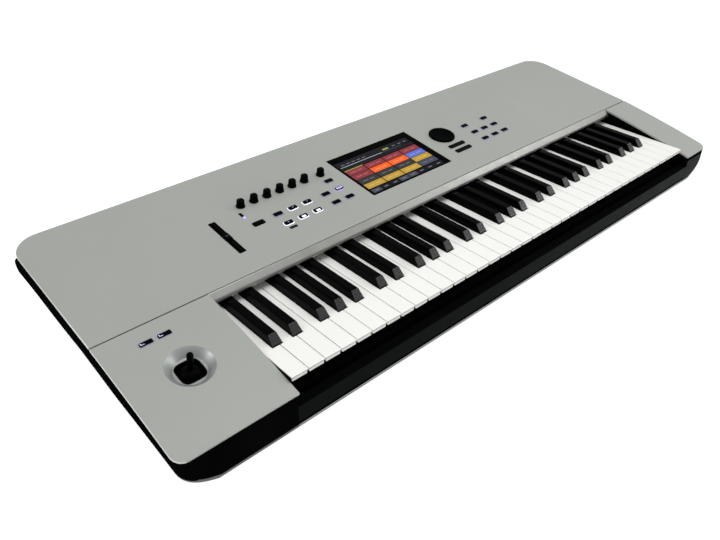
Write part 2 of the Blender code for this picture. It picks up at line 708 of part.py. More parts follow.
def panel_board(name, left, right, rear, places, shafts):
    """Circuit board hung from the panel on posts, with its switches and shafts."""
    front = BOARD_FRONT_V
    board = boxes(name, [((left, front, BOARD_TOP - BOARD), (right, rear, BOARD_TOP))],
                  BOARD_GREEN, PANEL_FRAME)
    plunger_top = PANEL_UNDER - BUTTON_TRAVEL - CARRIER_THICKNESS - BUTTON_TRAVEL - GAP
    switches = [slab(x, v, SWITCH_SIZE, SWITCH_SIZE, BOARD_TOP - BOARD / 2, plunger_top)
                for x, v in places]
    bodies = [slab(x, v, POT_SIZE, POT_SIZE, BOARD_TOP - BOARD / 2, flange_top - 0.0035)
              for x, v, _ in shafts]
    fuse(board, boxes(name + "_switches", switches + bodies, parent=PANEL_FRAME))
    inset = BOARD_POST_INSET
    posts = [((x, v, BOARD_TOP - BOARD / 2), (x, v, flange_top), POST_RADIUS)
             for x in (left + inset, right - inset) for v in (front + inset, rear - inset)]
    stems = [((x, v, BOARD_TOP - BOARD / 3), (x, v, high), SHAFT_RADIUS) for x, v, high in shafts]
    fuse(board, rods(name + "_posts", posts + stems, parent=PANEL_FRAME))
    return board


knob_shaft_top = KNOB_HEIGHT - 0.0030 - GAP
left_shafts = [(x, KNOB_V, knob_shaft_top) for x in KNOB_PLACES + [TEMPO_X]]
left_switches = [place for place in SWITCH_PLACES if place[0] < GLASS_X]
right_switches = [place for place in SWITCH_PLACES if place[0] > GLASS_X]
lcd_side = GLASS_WIDTH / 2 + LCD_FLANGE + LCD_BOARD_GAP
left_end = SLIDER_X - SLIDER_SLOT_WIDTH / 2 - BOARD_MARGIN
right_end = RIGHT_COLUMNS[-1] + BUTTON_WIDTH / 2 + BOARD_MARGIN
board_left = panel_board("panel_board_left", left_end, GLASS_X - lcd_side, KNOB_V + POT_SIZE / 2 + BOARD_MARGIN,
                         left_switches, left_shafts)
panel_board("panel_board_right", GLASS_X + lcd_side, right_end, DIAL_V + DIAL_RADIUS,
            right_switches, [(DIAL_X, DIAL_V, DIAL_HEIGHT - 0.0030 - GAP)])
fuse(board_left, boxes("slider_pot", [slab(SLIDER_X, SLIDER_V, SLIDER_SLOT_WIDTH + 0.002,
                                           SLIDER_SLOT_LENGTH + 0.012, BOARD_TOP - BOARD / 2,
                                           SLIDER_POT_TOP)], parent=PANEL_FRAME))
cut(board_left, boxes("slider_pot_groove", [slab(SLIDER_X, SLIDER_V, SLIDER_STEM_WIDTH + 2 * GAP,
                                                 SLIDER_SLOT_LENGTH, SLIDER_POT_TOP - 0.0026,
                                                 SLIDER_POT_TOP + THROUGH)], parent=PANEL_FRAME))


def octave_layout():
    """Head and tail sides of each white key and the middle of each black key, from the octave's left."""
    whites, blacks = [], []
    for first, count in ((0, 3), (3, 4)):
        left = first * WHITE_PITCH
        tail = (count * WHITE_PITCH - (count - 1) * BLACK_SLOT) / count
        for k in range(count):
            head = (left + k * WHITE_PITCH + KEY_GAP / 2, left + (k + 1) * WHITE_PITCH - KEY_GAP / 2)
            start = left + k * (tail + BLACK_SLOT)
            whites.append((head, (max(start, head[0]), min(start + tail, head[1]))))
            if k < count - 1:
                blacks.append(start + tail + BLACK_SLOT / 2)
    return whites, blacks


WHITES, BLACKS = octave_layout()
PIVOT = Vector((0.0, PIVOT_Y, PIVOT_Z))
WHITE_STEP_Y = BLACK_FRONT - 0.0015
LAST_C_SIDES = (OCTAVE + KEY_GAP / 2, OCTAVE + WHITE_PITCH - KEY_GAP / 2)
LAST_C = (LAST_C_SIDES, LAST_C_SIDES)


def white_outline(fingers, left):
    """Plan of one key, or of several joined by their rear rail, anticlockwise from the rear left."""
    points = []
    for k, (head, tail) in enumerate(fingers):
        start = WHITE_REAR if k == 0 else WHITE_RAIL_FRONT
        end = WHITE_REAR if k == len(fingers) - 1 else WHITE_RAIL_FRONT
        points.append((left + tail[0], start))
        if tail[0] > head[0]:
            points += [(left + tail[0], WHITE_STEP_Y), (left + head[0], WHITE_STEP_Y)]
        points += [(left + head[0], KEY_FRONT), (left + head[1], KEY_FRONT)]
        if tail[1] < head[1]:
            points += [(left + head[1], WHITE_STEP_Y), (left + tail[1], WHITE_STEP_Y)]
        points.append((left + tail[1], end))
    return points


pivot_notch = rods("pivot_notch", [((KEYS_LEFT - 0.01, PIVOT_Y, PIVOT_Z),
                                    (KEYS_RIGHT + 0.01, PIVOT_Y, PIVOT_Z), BEAD_RADIUS + GAP)])


def pivot_origin(obj):
    """Puts the piece's origin on the keys' pivot line, with its shape left where it is."""
    obj.data.transform(Matrix.Translation(-PIVOT))
    obj.location = PIVOT


def white_keys(name, fingers, left):
    outline = white_outline(fingers, left)
    levels = ((KEY_BOTTOM, LIP_OVERHANG), (LIP_UNDERSIDE - LIP_SLOPE, LIP_OVERHANG),
              (LIP_UNDERSIDE, 0.0), (KEY_TOP - KEY_EDGE, 0.0), (KEY_TOP, KEY_EDGE))
    rows = [[(x, y + (inset if y == KEY_FRONT else 0.0), z) for x, y in outline]
            for z, inset in levels]
    bm = bmesh.new()
    loft(bm, rows)
    keys = make_object(name, bm, KEY_WHITE)
    cut(keys, pivot_notch)
    pivot_origin(keys)
    return keys


def add_black_key(bm, middle):
    """Stem between the white tails, then a cap with leaning front and drawn-in sides."""
    base = BLACK_SLOT - 2 * BLACK_SIDE_GAP
    top = KEY_TOP + BLACK_HEIGHT
    levels = ((KEY_BOTTOM, BLACK_STEM, 0.0030), (BLACK_SHOULDER - LIP_SLOPE, BLACK_STEM, 0.0030),
              (BLACK_SHOULDER, base, 0.0), (KEY_TOP + 0.0015, base, 0.0003),
              (top - 0.0008, BLACK_TOP_WIDTH, BLACK_FRONT_LEAN - 0.0010),
              (top, BLACK_TOP_WIDTH - 0.0016, BLACK_FRONT_LEAN))
    rows = [[(middle - width / 2, BLACK_FRONT + lean, z), (middle + width / 2, BLACK_FRONT + lean, z),
             (middle + width / 2, BLACK_REAR, z), (middle - width / 2, BLACK_REAR, z)]
            for z, width, lean in levels]
    loft(bm, rows)


def black_keys(name, middles):
    bm = bmesh.new()
    if len(middles) == 1:
        add_black_key(bm, middles[0])
        keys = make_object(name, bm, KEY_BLACK)
    else:
        for middle in middles:
            add_black_key(bm, middle)
        fingers = make_object(name + "_fingers", bm)
        half = BLACK_STEM / 2
        keys = boxes(name, [((middles[0] - half, BLACK_REAR - BLACK_RAIL_DEPTH, BLACK_RAIL_LOW),
                             (middles[-1] + half, BLACK_REAR - 0.001, BLACK_RAIL_LOW + BLACK_RAIL_HEIGHT))],
                     KEY_BLACK)
        fuse(keys, fingers)
    cut(keys, pivot_notch)
    pivot_origin(keys)
    return keys


WHITE_NAMES = ("c", "d", "e", "f", "g", "a", "b")
BLACK_NAMES = ("c_sharp", "d_sharp", "f_sharp", "g_sharp", "a_sharp")
for octave in range(OCTAVES):
    left = KEYS_LEFT + octave * OCTAVE
    middles = [left + place for place in BLACKS]
    if octave == SINGLE_OCTAVE:
        for note, finger in zip(WHITE_NAMES, WHITES):
            white_keys(f"key_{note}", [finger], left)
        for note, middle in zip(BLACK_NAMES, middles):
            black_keys(f"key_{note}", [middle])
    else:
        fingers = WHITES + ([LAST_C] if octave == OCTAVES - 1 else [])
        white_keys(f"white_keys_octave_{octave + 1}", fingers, left)
        black_keys(f"black_keys_octave_{octave + 1}", middles)


FRAME_FLOOR = FLOOR_TOP + GAP
FRAME_LEFT = KEYS_LEFT - 0.001
FRAME_RIGHT = KEYS_RIGHT + 0.001


def keybed_frame():
    """Folded steel channel along the whole keyboard, with a rolled rear bead that the keys rock on."""
    rail_top = KEY_BOTTOM - KEY_DIP - FRAME_RAIL_CLEAR
    rail_front = KEY_FRONT + FRAME_SETBACK
    rail_rear = rail_front + FRAME_RAIL_DEPTH
    floor = FRAME_FLOOR + FRAME_SHEET / 2
    path = [(rail_front, floor + FRAME_FOLD), (rail_front, rail_top), (rail_rear, rail_top), (rail_rear, floor),
            (PIVOT_Y - FRAME_FOLD_RUN, floor), (PIVOT_Y, floor + FRAME_FOLD), (PIVOT_Y, PIVOT_Z - BEAD_RADIUS)]
    bm = bmesh.new()
    loft(bm, [[(x, y, z) for y, z in path] for x in (FRAME_LEFT, FRAME_RIGHT)], closed=False, capped=False)
    frame = make_sheet("keybed_frame", bm, BLACK_STEEL)
    fold = frame.modifiers.new("sheet", "SOLIDIFY")
    fold.thickness = FRAME_SHEET
    fold.offset = 0.0
    fold.use_even_offset = True
    fuse(frame, rods("fulcrum_bead", [((FRAME_LEFT, PIVOT_Y, PIVOT_Z), (FRAME_RIGHT, PIVOT_Y, PIVOT_Z),
                                       BEAD_RADIUS)]))
    return frame


keybed_frame()


def contact_board():
    """Board on the keybed's floor with two rubber strips that the keys press at the end of their dip."""
    front = KEY_FRONT + CONTACT_SETBACK
    rear = front + CONTACT_DEPTH
    strip_top = KEY_BOTTOM - KEY_DIP * (PIVOT_Y - front) / (PIVOT_Y - KEY_FRONT) - GAP
    board_top = strip_top - CONTACT_STRIP_HEIGHT + BOARD / 2
    board = boxes("contact_board", [((FRAME_LEFT, front, board_top - BOARD), (FRAME_RIGHT, rear, board_top))],
                  BOARD_GREEN)
    middle = board_top - BOARD / 2
    edge = CONTACT_STRIP / 2
    strips = [((FRAME_LEFT + edge, y, middle), (FRAME_RIGHT - edge, y + CONTACT_STRIP, strip_top))
              for y in (front + edge, rear - CONTACT_STRIP - edge)]
    low = FRAME_FLOOR + FRAME_SHEET + GAP
    step = (FRAME_RIGHT - FRAME_LEFT - CONTACT_STAND - 2 * edge) / (CONTACT_STANDS - 1)
    stands = [((FRAME_LEFT + edge + k * step, y, low),
               (FRAME_LEFT + edge + k * step + CONTACT_STAND, y + CONTACT_STAND, middle))
              for k in range(CONTACT_STANDS) for y in (front + GAP, rear - CONTACT_STAND - GAP)]
    fuse(board, boxes("contact_strips", strips + stands))
    return board


contact_board()

CHASSIS_FRONT = KEY_FRONT + WALL
CHASSIS_REAR = BLOCK_REAR - REAR_PLATE - GAP
BOARDS_REAR = BLOCK_REAR - REAR_CLEAR
SUPPLY_RIGHT = BODY_RIGHT - SUPPLY_CLEAR
MAIN_BOARD = ((MAIN_BOARD_LEFT, BOARDS_REAR - MAIN_BOARD_DEPTH),
              (MAIN_BOARD_LEFT + MAIN_BOARD_WIDTH, BOARDS_REAR))
SUPPLY = ((SUPPLY_RIGHT - SUPPLY_WIDTH, BOARDS_REAR - SUPPLY_DEPTH), (SUPPLY_RIGHT, BOARDS_REAR))
FOOT_X = HALF_WIDTH - FOOT_INSET_X
FOOT_Y = REAR_Y - FOOT_INSET_Y
FEET = [(x, y) for x in (-FOOT_X, FOOT_X) for y in (-FOOT_Y, FOOT_Y)]


def corner_places(low, high):
    return [(x, y) for x in (low[0] + STANDOFF_INSET, high[0] - STANDOFF_INSET)
            for y in (low[1] + STANDOFF_INSET, high[1] - STANDOFF_INSET)]


chassis = boxes("bottom_chassis", [((BODY_LEFT, CHASSIS_FRONT, BASE_Z), (BODY_RIGHT, CHASSIS_REAR, FLOOR_TOP))],
                STEEL)
feet_and_standoffs = [((x, y, 0.0), (x, y, BASE_Z + SHEET / 2), FOOT_RADIUS) for x, y in FEET]
feet_and_standoffs += [((x, y, BASE_Z + SHEET / 2), (x, y, FLOOR_TOP + STANDOFF), POST_RADIUS)
                       for x, y in corner_places(*MAIN_BOARD) + corner_places(*SUPPLY)]
fuse(chassis, rods("feet_and_standoffs", feet_and_standoffs, segments=16))

slip_shelf = FRONT_Y + SLIP_SHELF_DEPTH
slip_outline = [
    (FRONT_Y + SOLE_CHAMFER, BASE_Z), (CHASSIS_FRONT - GAP, BASE_Z), (CHASSIS_FRONT - GAP, BASE_Z + WALL),
    (FRONT_Y + SLIP_STEP + SOLE_CHAMFER, BASE_Z + WALL), (FRONT_Y + SLIP_STEP + WALL, BASE_Z + 2 * WALL),
    (FRONT_Y + SLIP_STEP + WALL, SLIP_TOP - WALL), (slip_shelf, SLIP_TOP - WALL), (slip_shelf, SLIP_TOP),
    (FRONT_Y + 0.0012, SLIP_TOP), (FRONT_Y, SLIP_TOP - 0.0012), (FRONT_Y, SLIP_FACE_LOW),
    (FRONT_Y + SLIP_STEP, SLIP_FACE_LOW - SLIP_STEP), (FRONT_Y + SLIP_STEP, BASE_Z + SOLE_CHAMFER),
    (FRONT_Y, BASE_Z + SOLE_CHAMFER)]
side_solid("key_slip", slip_outline, BODY_LEFT, BODY_RIGHT, CASE_BLACK)

rear_top = panel_z(BLOCK_REAR - REAR_PLATE) - PANEL_THICKNESS - GAP
rear_panel = boxes("rear_panel", [((BODY_LEFT, BLOCK_REAR - REAR_PLATE, BASE_Z),
                                   (BODY_RIGHT, BLOCK_REAR, rear_top))], CASE_BLACK)

BOARD_LOW = FLOOR_TOP + STANDOFF + GAP
BOARD_HIGH = BOARD_LOW + BOARD
CHIPS = ((0.090, 0.028, 0.032, 0.032, 0.003), (0.170, 0.023, 0.040, 0.040, 0.012),
         (0.250, 0.033, 0.020, 0.014, 0.002), (0.250, 0.058, 0.020, 0.014, 0.002),
         (0.330, 0.018, 0.060, 0.012, 0.009), (0.030, 0.058, 0.030, 0.012, 0.009))


def floor_board(name, low, high, material, blocks):
    """Board on its standoffs, with blocks given from its front left corner: place, size and height."""
    board = boxes(name, [((*low, BOARD_LOW), (*high, BOARD_HIGH))], material)
    left, front = low
    middle = BOARD_LOW + BOARD / 2
    fuse(board, boxes(name + "_parts", [
        ((left + x, front + y, middle), (left + x + width, front + y + depth, BOARD_HIGH + tall))
        for x, y, width, depth, tall in blocks]))
    return board


floor_board("main_board", *MAIN_BOARD, BOARD_GREEN, CHIPS)


def power_supply():
    """Supply with its transformer, filter, switch and the inlet's housing, which opens in the rear panel."""
    blocks = ((0.014, 0.010, 0.046, 0.070, 0.032), (0.070, 0.012, 0.060, 0.028, 0.024))
    supply = floor_board("power_supply", *SUPPLY, STEEL, blocks)
    reach = BLOCK_REAR - POWER_DEPTH - POWER_TRAVEL - 2 * GAP
    switch = ((POWER_X - SWITCH_BODY / 2, reach - SWITCH_BODY, BOARD_LOW + BOARD / 2),
              (POWER_X + SWITCH_BODY / 2, reach, POWER_Z + SWITCH_BODY / 2))
    mouth = BLOCK_REAR - REAR_PLATE - GAP
    half = INLET_WIDTH / 2
    housing = ((INLET_X - half - INLET_WALL, mouth - INLET_DEPTH, BOARD_LOW + BOARD / 2),
               (INLET_X + half + INLET_WALL, mouth, INLET_LOW + INLET_HEIGHT + INLET_WALL))
    fuse(supply, boxes("switch_and_inlet", [switch, housing]))
    cut(supply, boxes("inlet_hollow", [((INLET_X - half, mouth - INLET_DEPTH + INLET_WALL, INLET_LOW),
                                        (INLET_X + half, mouth + REAR_PLATE, INLET_LOW + INLET_HEIGHT))]))
    return supply


POWER_X = SUPPLY_RIGHT - POWER_INSET
INLET_X = SUPPLY_RIGHT - INLET_INSET
INLET_LOW = BOARD_HIGH + INLET_WALL
power_supply()

half_button = POWER_SIZE / 2
power_button = boxes("power_button", [((-half_button, -POWER_DEPTH, -half_button),
                                       (half_button, POWER_STANDS_OUT, half_button))], BUTTON_BLACK)
power_button.location = (POWER_X, BLOCK_REAR, POWER_Z)
plate_front, plate_rear = BLOCK_REAR - 2 * REAR_PLATE, BLOCK_REAR + REAR_PLATE
cut(rear_panel, boxes("rear_openings", [
    ((POWER_X - half_button - GAP, plate_front, POWER_Z - half_button - GAP),
     (POWER_X + half_button + GAP, plate_rear, POWER_Z + half_button + GAP)),
    ((INLET_X - INLET_WIDTH / 2, plate_front, INLET_LOW),
     (INLET_X + INLET_WIDTH / 2, plate_rear, INLET_LOW + INLET_HEIGHT))]))


def joystick():
    """Bowl with its housing, a ring that tips fore and aft, and a stick that tips sideways in it."""
    rim = BOWL_RADIUS - GAP
    under = -COVER_THICKNESS - GAP
    ledge = rim + 0.0050
    floor = -BOWL_DEPTH
    bowl = turned("joystick_base", [
        (rim - 0.0004, 0.0), (rim, -0.0004), (rim, under), (ledge, under), (ledge, under - BOWL_WALL),
        (BOWL_FOOT_RADIUS + 0.0060, under - BOWL_WALL - 0.001), (BOWL_FOOT_RADIUS + 0.0050, floor - BOWL_WALL),
        (0.0, floor - BOWL_WALL), (0.0, floor), (BOWL_FOOT_RADIUS, floor), (rim - 0.0004, 0.0)],
        32, BOWL_METAL, STICK_FRAME)
    low = floor - BOWL_WALL / 2
    half = HOUSING / 2
    inner = half - HOUSING_WALL
    fuse(bowl, boxes("stick_housing", [((-half, -half, low - HOUSING_DEPTH), (half, half, low))],
                     parent=STICK_FRAME))
    cut(bowl, boxes("stick_hollow", [((-inner, -inner, low - HOUSING_DEPTH - THROUGH),
                                      (inner, inner, floor - BOWL_WALL))], parent=STICK_FRAME))
    cut(bowl, plan_solid("stick_aperture", rounded_box(APERTURE, APERTURE, APERTURE_CORNER),
                         -BOWL_DEPTH - 0.006, -BOWL_DEPTH + THROUGH, parent=STICK_FRAME))
    reach = HOUSING
    cut(bowl, rods("stick_bearings", [((-reach, 0.0, -STICK_PIVOT_DEPTH), (reach, 0.0, -STICK_PIVOT_DEPTH),
                                       AXLE_RADIUS + GAP)], parent=STICK_FRAME))
    side, tall = GIMBAL_OUTER / 2, GIMBAL_HEIGHT / 2
    ring = boxes("joystick_gimbal", [((-side, -side, -tall), (side, side, tall))], STEEL, STICK_FRAME)
    ring.location = (0.0, 0.0, -STICK_PIVOT_DEPTH)
    stubs = rods("gimbal_axle", [((-half, 0.0, 0.0), (half, 0.0, 0.0), AXLE_RADIUS)], parent=ring)
    fuse(ring, stubs)
    cut(ring, boxes("gimbal_window", [((-GIMBAL_INNER / 2, -GIMBAL_INNER / 2, -GIMBAL_HEIGHT),
                                       (GIMBAL_INNER / 2, GIMBAL_INNER / 2, GIMBAL_HEIGHT))], parent=ring))
    cut(ring, rods("gimbal_bearing", [((0.0, -GIMBAL_OUTER, 0.0), (0.0, GIMBAL_OUTER, 0.0),
                                       AXLE_RADIUS + GAP)], parent=ring))
    top = STICK_HEIGHT + STICK_PIVOT_DEPTH
    neck = STICK_RADIUS * 0.85
    hub, hub_low = 0.0060, -0.0050
    dome = [(DOME_RADIUS * sin(radians(angle)), DOME_RADIUS * cos(radians(angle))) for angle in DOME_ANGLES]
    stick = turned("joystick_lever", [
        (0.0, top), (STICK_RADIUS * 0.70, top - 0.0004), (STICK_RADIUS, top - 0.0022),
        (STICK_RADIUS, top - 0.0150), (neck, top - 0.0165), (neck, DOME_RADIUS), *dome,
        (hub, hub - 0.0005), (hub, hub_low), (0.0, hub_low)], 16, KNOB_BLACK, ring)
    fuse(stick, rods("stick_axle", [((0.0, -GIMBAL_OUTER / 2, 0.0), (0.0, GIMBAL_OUTER / 2, 0.0),
                                     AXLE_RADIUS)], parent=ring))
    return bowl


joystick_base = joystick()
cover_bore = rods("bowl_opening", [((0.0, 0.0, -0.02), (0.0, 0.0, 0.01), BOWL_RADIUS)],
                  parent=STICK_FRAME, segments=32)
cut(left_cover, cover_bore)

switch_holes = []
switch_plungers = []
button_low = -COVER_THICKNESS - BUTTON_TRAVEL - CARRIER_THICKNESS
plunger_high = button_low - BUTTON_TRAVEL - GAP
for name, x in (("switch_one_button", SWITCH_ONE_X), ("switch_two_button", SWITCH_TWO_X)):
    width, depth = STICK_SWITCH_WIDTH + 2 * CARRIER_MARGIN, STICK_SWITCH_DEPTH + 2 * CARRIER_MARGIN
    cap = boxes(name, [slab(x, 0.0, width, depth, button_low, button_low + CARRIER_THICKNESS)],
                BUTTON_BLACK, SWITCH_FRAME)
    core = slab(x, 0.0, STICK_SWITCH_WIDTH, STICK_SWITCH_DEPTH, button_low + CARRIER_THICKNESS / 2, BUTTON_HEIGHT)
    fuse(cap, boxes(name + "_cap", [core], parent=SWITCH_FRAME))
    switch_holes.append(slab(x, 0.0, STICK_SWITCH_WIDTH + 2 * GAP, STICK_SWITCH_DEPTH + 2 * GAP, -0.01, 0.01))
    switch_plungers.append(slab(x, 0.0, SWITCH_SIZE, STICK_SWITCH_DEPTH, plunger_high - 0.0030, plunger_high))
switch_plate = ((SWITCH_ONE_X - 0.010, SWITCH_PLATE_FRONT, plunger_high - 0.0040),
                (SWITCH_TWO_X + 0.010, SWITCH_SIZE, plunger_high - 0.0024))
switch_bracket = ((STICK_X - 0.010, SWITCH_PLATE_FRONT, plunger_high - 0.0040),
                  (STICK_X + 0.010, SWITCH_PLATE_FRONT + 0.003, -COVER_THICKNESS - 0.0012))
fuse(joystick_base, boxes("switch_plate", [switch_plate], parent=SWITCH_FRAME))
fuse(joystick_base, boxes("switch_plungers", switch_plungers, parent=SWITCH_FRAME))
fuse(joystick_base, boxes("switch_bracket", [switch_bracket], parent=SWITCH_FRAME))
cut(left_cover, boxes("stick_switch_openings", switch_holes, parent=SWITCH_FRAME))
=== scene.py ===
"""Looks of the music workstation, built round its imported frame."""
import json
from math import atan, cos, pi, radians, sin

import bmesh
import bpy
from mathutils import Matrix, Vector

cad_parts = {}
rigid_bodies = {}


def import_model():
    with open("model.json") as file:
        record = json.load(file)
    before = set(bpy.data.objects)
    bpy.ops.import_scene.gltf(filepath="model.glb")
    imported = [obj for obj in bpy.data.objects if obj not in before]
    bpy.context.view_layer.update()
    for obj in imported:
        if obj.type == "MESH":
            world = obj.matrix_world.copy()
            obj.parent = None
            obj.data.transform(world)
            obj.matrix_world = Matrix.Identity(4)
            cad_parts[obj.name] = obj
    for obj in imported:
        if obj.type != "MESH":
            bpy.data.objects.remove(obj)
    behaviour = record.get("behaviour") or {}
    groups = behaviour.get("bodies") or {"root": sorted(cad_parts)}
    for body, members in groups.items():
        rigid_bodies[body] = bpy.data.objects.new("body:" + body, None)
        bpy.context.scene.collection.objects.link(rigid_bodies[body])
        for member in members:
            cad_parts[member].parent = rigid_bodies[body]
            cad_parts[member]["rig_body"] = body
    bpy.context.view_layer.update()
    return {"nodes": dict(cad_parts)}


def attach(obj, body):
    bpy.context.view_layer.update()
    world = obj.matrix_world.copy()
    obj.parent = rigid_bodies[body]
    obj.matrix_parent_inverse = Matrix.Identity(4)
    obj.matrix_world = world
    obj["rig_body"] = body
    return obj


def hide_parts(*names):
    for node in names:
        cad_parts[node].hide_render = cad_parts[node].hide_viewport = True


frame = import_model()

# Sizes and places in metres, as in the part: X to the right, Y to the rear, Z up

CASING = "casing"
HALF_WIDTH = 0.531
FRONT, REAR = -0.193, 0.193
CREASE_Y, CREASE_Z, TOP_Z, COVER_Z, BASE_Z = -0.0224, 0.0889, 0.116, 0.0548, 0.005
CROWN = 0.0015
SHEET = 0.003
GAP = 0.0003
SEAM = 0.0020
COVER_LEFT, COVER_RIGHT = -0.3851, 0.46607
BLOCK_LEFT, BLOCK_RIGHT = -0.3884, 0.46937
TILT = atan((TOP_Z - CREASE_Z) / (REAR - CREASE_Y))
PANEL_LENGTH = (REAR - SHEET * sin(TILT) - CREASE_Y) / cos(TILT)
PANEL = Matrix.Translation((0, CREASE_Y, CREASE_Z)) @ Matrix.Rotation(TILT, 4, "X")
NODES = frame["nodes"]


def panel_z(y):
    return CREASE_Z + (y - CREASE_Y) * (TOP_Z - CREASE_Z) / (REAR - CREASE_Y)


def cover_z(y):
    t = (CREASE_Y - y) / (CREASE_Y - FRONT)
    return CREASE_Z + (COVER_Z - CREASE_Z) * t + CROWN * 4 * t * (1 - t)


def top_z(y):
    return panel_z(y) if y > CREASE_Y else cover_z(y)


def cover_frame(x, y):
    slope = atan((cover_z(y + 0.001) - cover_z(y - 0.001)) / 0.002)
    return Matrix.Translation((x, y, cover_z(y))) @ Matrix.Rotation(slope, 4, "X")


# Materials

def surface(name, colour, rough=0.4, metal=0.0, spec=0.5, vary=0.05, vary_scale=9.0, fleck=0.0,
            fleck_scale=1500.0, bump=0.0, bump_scale=2500.0, rough_vary=0.06, coat=0.0, glow=0.0,
            glow_colour=None, stretch=None):
    """Procedural finish: broad and fine colour change, uneven roughness and a small relief."""
    mat = bpy.data.materials.new(name)
    mat.use_nodes = True
    tree = mat.node_tree
    shader = tree.nodes["Principled BSDF"]
    shader.inputs["Metallic"].default_value = metal
    shader.inputs["Specular IOR Level"].default_value = spec
    shader.inputs["Coat Weight"].default_value = coat
    place = tree.nodes.new("ShaderNodeTexCoord").outputs["Object"]
    if stretch:
        mapping = tree.nodes.new("ShaderNodeMapping")
        mapping.inputs["Scale"].default_value = stretch
        tree.links.new(place, mapping.inputs["Vector"])
        place = mapping.outputs["Vector"]

    def noise(scale, detail=2.0):
        node = tree.nodes.new("ShaderNodeTexNoise")
        node.inputs["Scale"].default_value = scale
        node.inputs["Detail"].default_value = detail
        tree.links.new(place, node.inputs["Vector"])
        return node.outputs["Fac"]

    def spread(source, low, high):
        node = tree.nodes.new("ShaderNodeMapRange")
        node.inputs["From Min"].default_value = 0.3
        node.inputs["From Max"].default_value = 0.7
        node.inputs["To Min"].default_value = low
        node.inputs["To Max"].default_value = high
        tree.links.new(source, node.inputs["Value"])
        return node.outputs["Result"]

    factor = spread(noise(vary_scale, 4.0), 1 - vary, 1 + vary)
    if fleck:
        multiply = tree.nodes.new("ShaderNodeMath")
        multiply.operation = "MULTIPLY"
        tree.links.new(factor, multiply.inputs[0])
        tree.links.new(spread(noise(fleck_scale), 1 - fleck, 1 + fleck), multiply.inputs[1])
        factor = multiply.outputs[0]
    tint = tree.nodes.new("ShaderNodeVectorMath")
    tint.operation = "SCALE"
    tint.inputs[0].default_value = colour
    tree.links.new(factor, tint.inputs["Scale"])
    tree.links.new(tint.outputs["Vector"], shader.inputs["Base Color"])
    uneven = spread(noise(vary_scale * 6, 3.0), max(0.02, rough - rough_vary), min(1.0, rough + rough_vary))
    tree.links.new(uneven, shader.inputs["Roughness"])
    if bump:
        node = tree.nodes.new("ShaderNodeBump")
        node.inputs["Strength"].default_value = 0.5
        node.inputs["Distance"].default_value = bump
        tree.links.new(noise(bump_scale, 3.0), node.inputs["Height"])
        tree.links.new(node.outputs["Normal"], shader.inputs["Normal"])
    if glow:
        shader.inputs["Emission Color"].default_value = (*(glow_colour or colour), 1.0)
        shader.inputs["Emission Strength"].default_value = glow
    return mat


PAINT = surface("panel_paint", (0.331, 0.346, 0.319), 0.42, spec=0.35, vary=0.02, vary_scale=5.0,
                fleck=0.07, fleck_scale=2200.0, bump=0.00002, bump_scale=2600.0)
# Edge paint: glossier, and about twice as light as the panel's, which is a painted highlight along the
# sheets' side faces
PAINT_EDGE_HIGHLIGHT = surface("panel_paint_edge_highlight", (0.64, 0.655, 0.63), 0.20, spec=0.50, vary=0.02, vary_scale=40.0)
HULL_BLACK = surface("hull_black", (0.0020, 0.0021, 0.0022), 0.34, spec=0.0, vary=0.25, vary_scale=14.0,
                     fleck=0.2, bump=0.00002, bump_scale=1400.0)
SLIP_BLACK = surface("slip_black", (0.0018, 0.0034, 0.0031), 0.30, spec=0.010, vary=0.2, vary_scale=11.0,
                     fleck=0.15, bump=0.00001, bump_scale=1400.0)
NOSE_PAINT = surface("nose_paint", (0.300, 0.304, 0.286), 0.37, metal=0.85, vary=0.03, vary_scale=8.0,
                     fleck=0.03, fleck_scale=2200.0)
# A lighter grey for the band along the key slip's foot
STRIP = surface("slip_foot_band", (0.25, 0.255, 0.24), 0.40, spec=0.3, vary=0.10, vary_scale=11.0, fleck=0.05)
# Lighter grey round the end mouldings' lower front corner: a painted sheen, the floor's reflection painted
# into the colour
PAINTED_SHEEN = surface("hull_painted_sheen", (0.105, 0.115, 0.110), 0.35, spec=0.20, vary=0.15, vary_scale=11.0,
                     fleck=0.15, bump=0.00001, bump_scale=1400.0)
WHITE = surface("key_white", (0.86, 0.857, 0.828), 0.20, spec=0.45, vary=0.012, vary_scale=30.0,
                fleck=0.01, fleck_scale=500.0, bump=0.000006, bump_scale=300.0, coat=0.15)
# Grey of the line under each white key's top plate: painted shade
KEY_SHADE = surface("key_shade", (0.42, 0.41, 0.385), 0.35, spec=0.3, vary=0.05, vary_scale=200.0)
BLACK = surface("key_black", (0.0006, 0.0006, 0.0007), 0.20, spec=0.030, vary=0.2, vary_scale=60.0,
                fleck=0.2, fleck_scale=900.0, bump=0.000008, bump_scale=500.0)
BLACK_SLOPE = surface("key_black_slope", (0.0012, 0.0012, 0.0013), 0.28, spec=1.0, vary=0.2,
                      vary_scale=60.0)
DIAL = surface("dial_rubber", (0.0010, 0.0014, 0.0013), 0.42, spec=0.006, vary=0.2, vary_scale=120.0,
               fleck=0.25, bump=0.00002, bump_scale=3200.0)
KNOB = surface("knob_rubber", (0.0008, 0.0008, 0.0009), 0.40, spec=0.018, vary=0.2, vary_scale=120.0,
               fleck=0.25, bump=0.00003, bump_scale=3200.0)
CAP = surface("button_cap", (0.0012, 0.0010, 0.0026), 0.34, spec=0.02, vary=0.2, vary_scale=200.0,
              fleck=0.15, bump=0.00001, bump_scale=2400.0)
WIDE_CAP = surface("wide_button_cap", (0.0007, 0.0007, 0.0007), 0.16, spec=0.03, vary=0.2,
                   vary_scale=160.0)
BOWL_FLOOR = surface("bowl_floor", (0.31, 0.325, 0.315), 0.45, metal=0.2, spec=0.3, vary=0.03,
                     vary_scale=60.0)
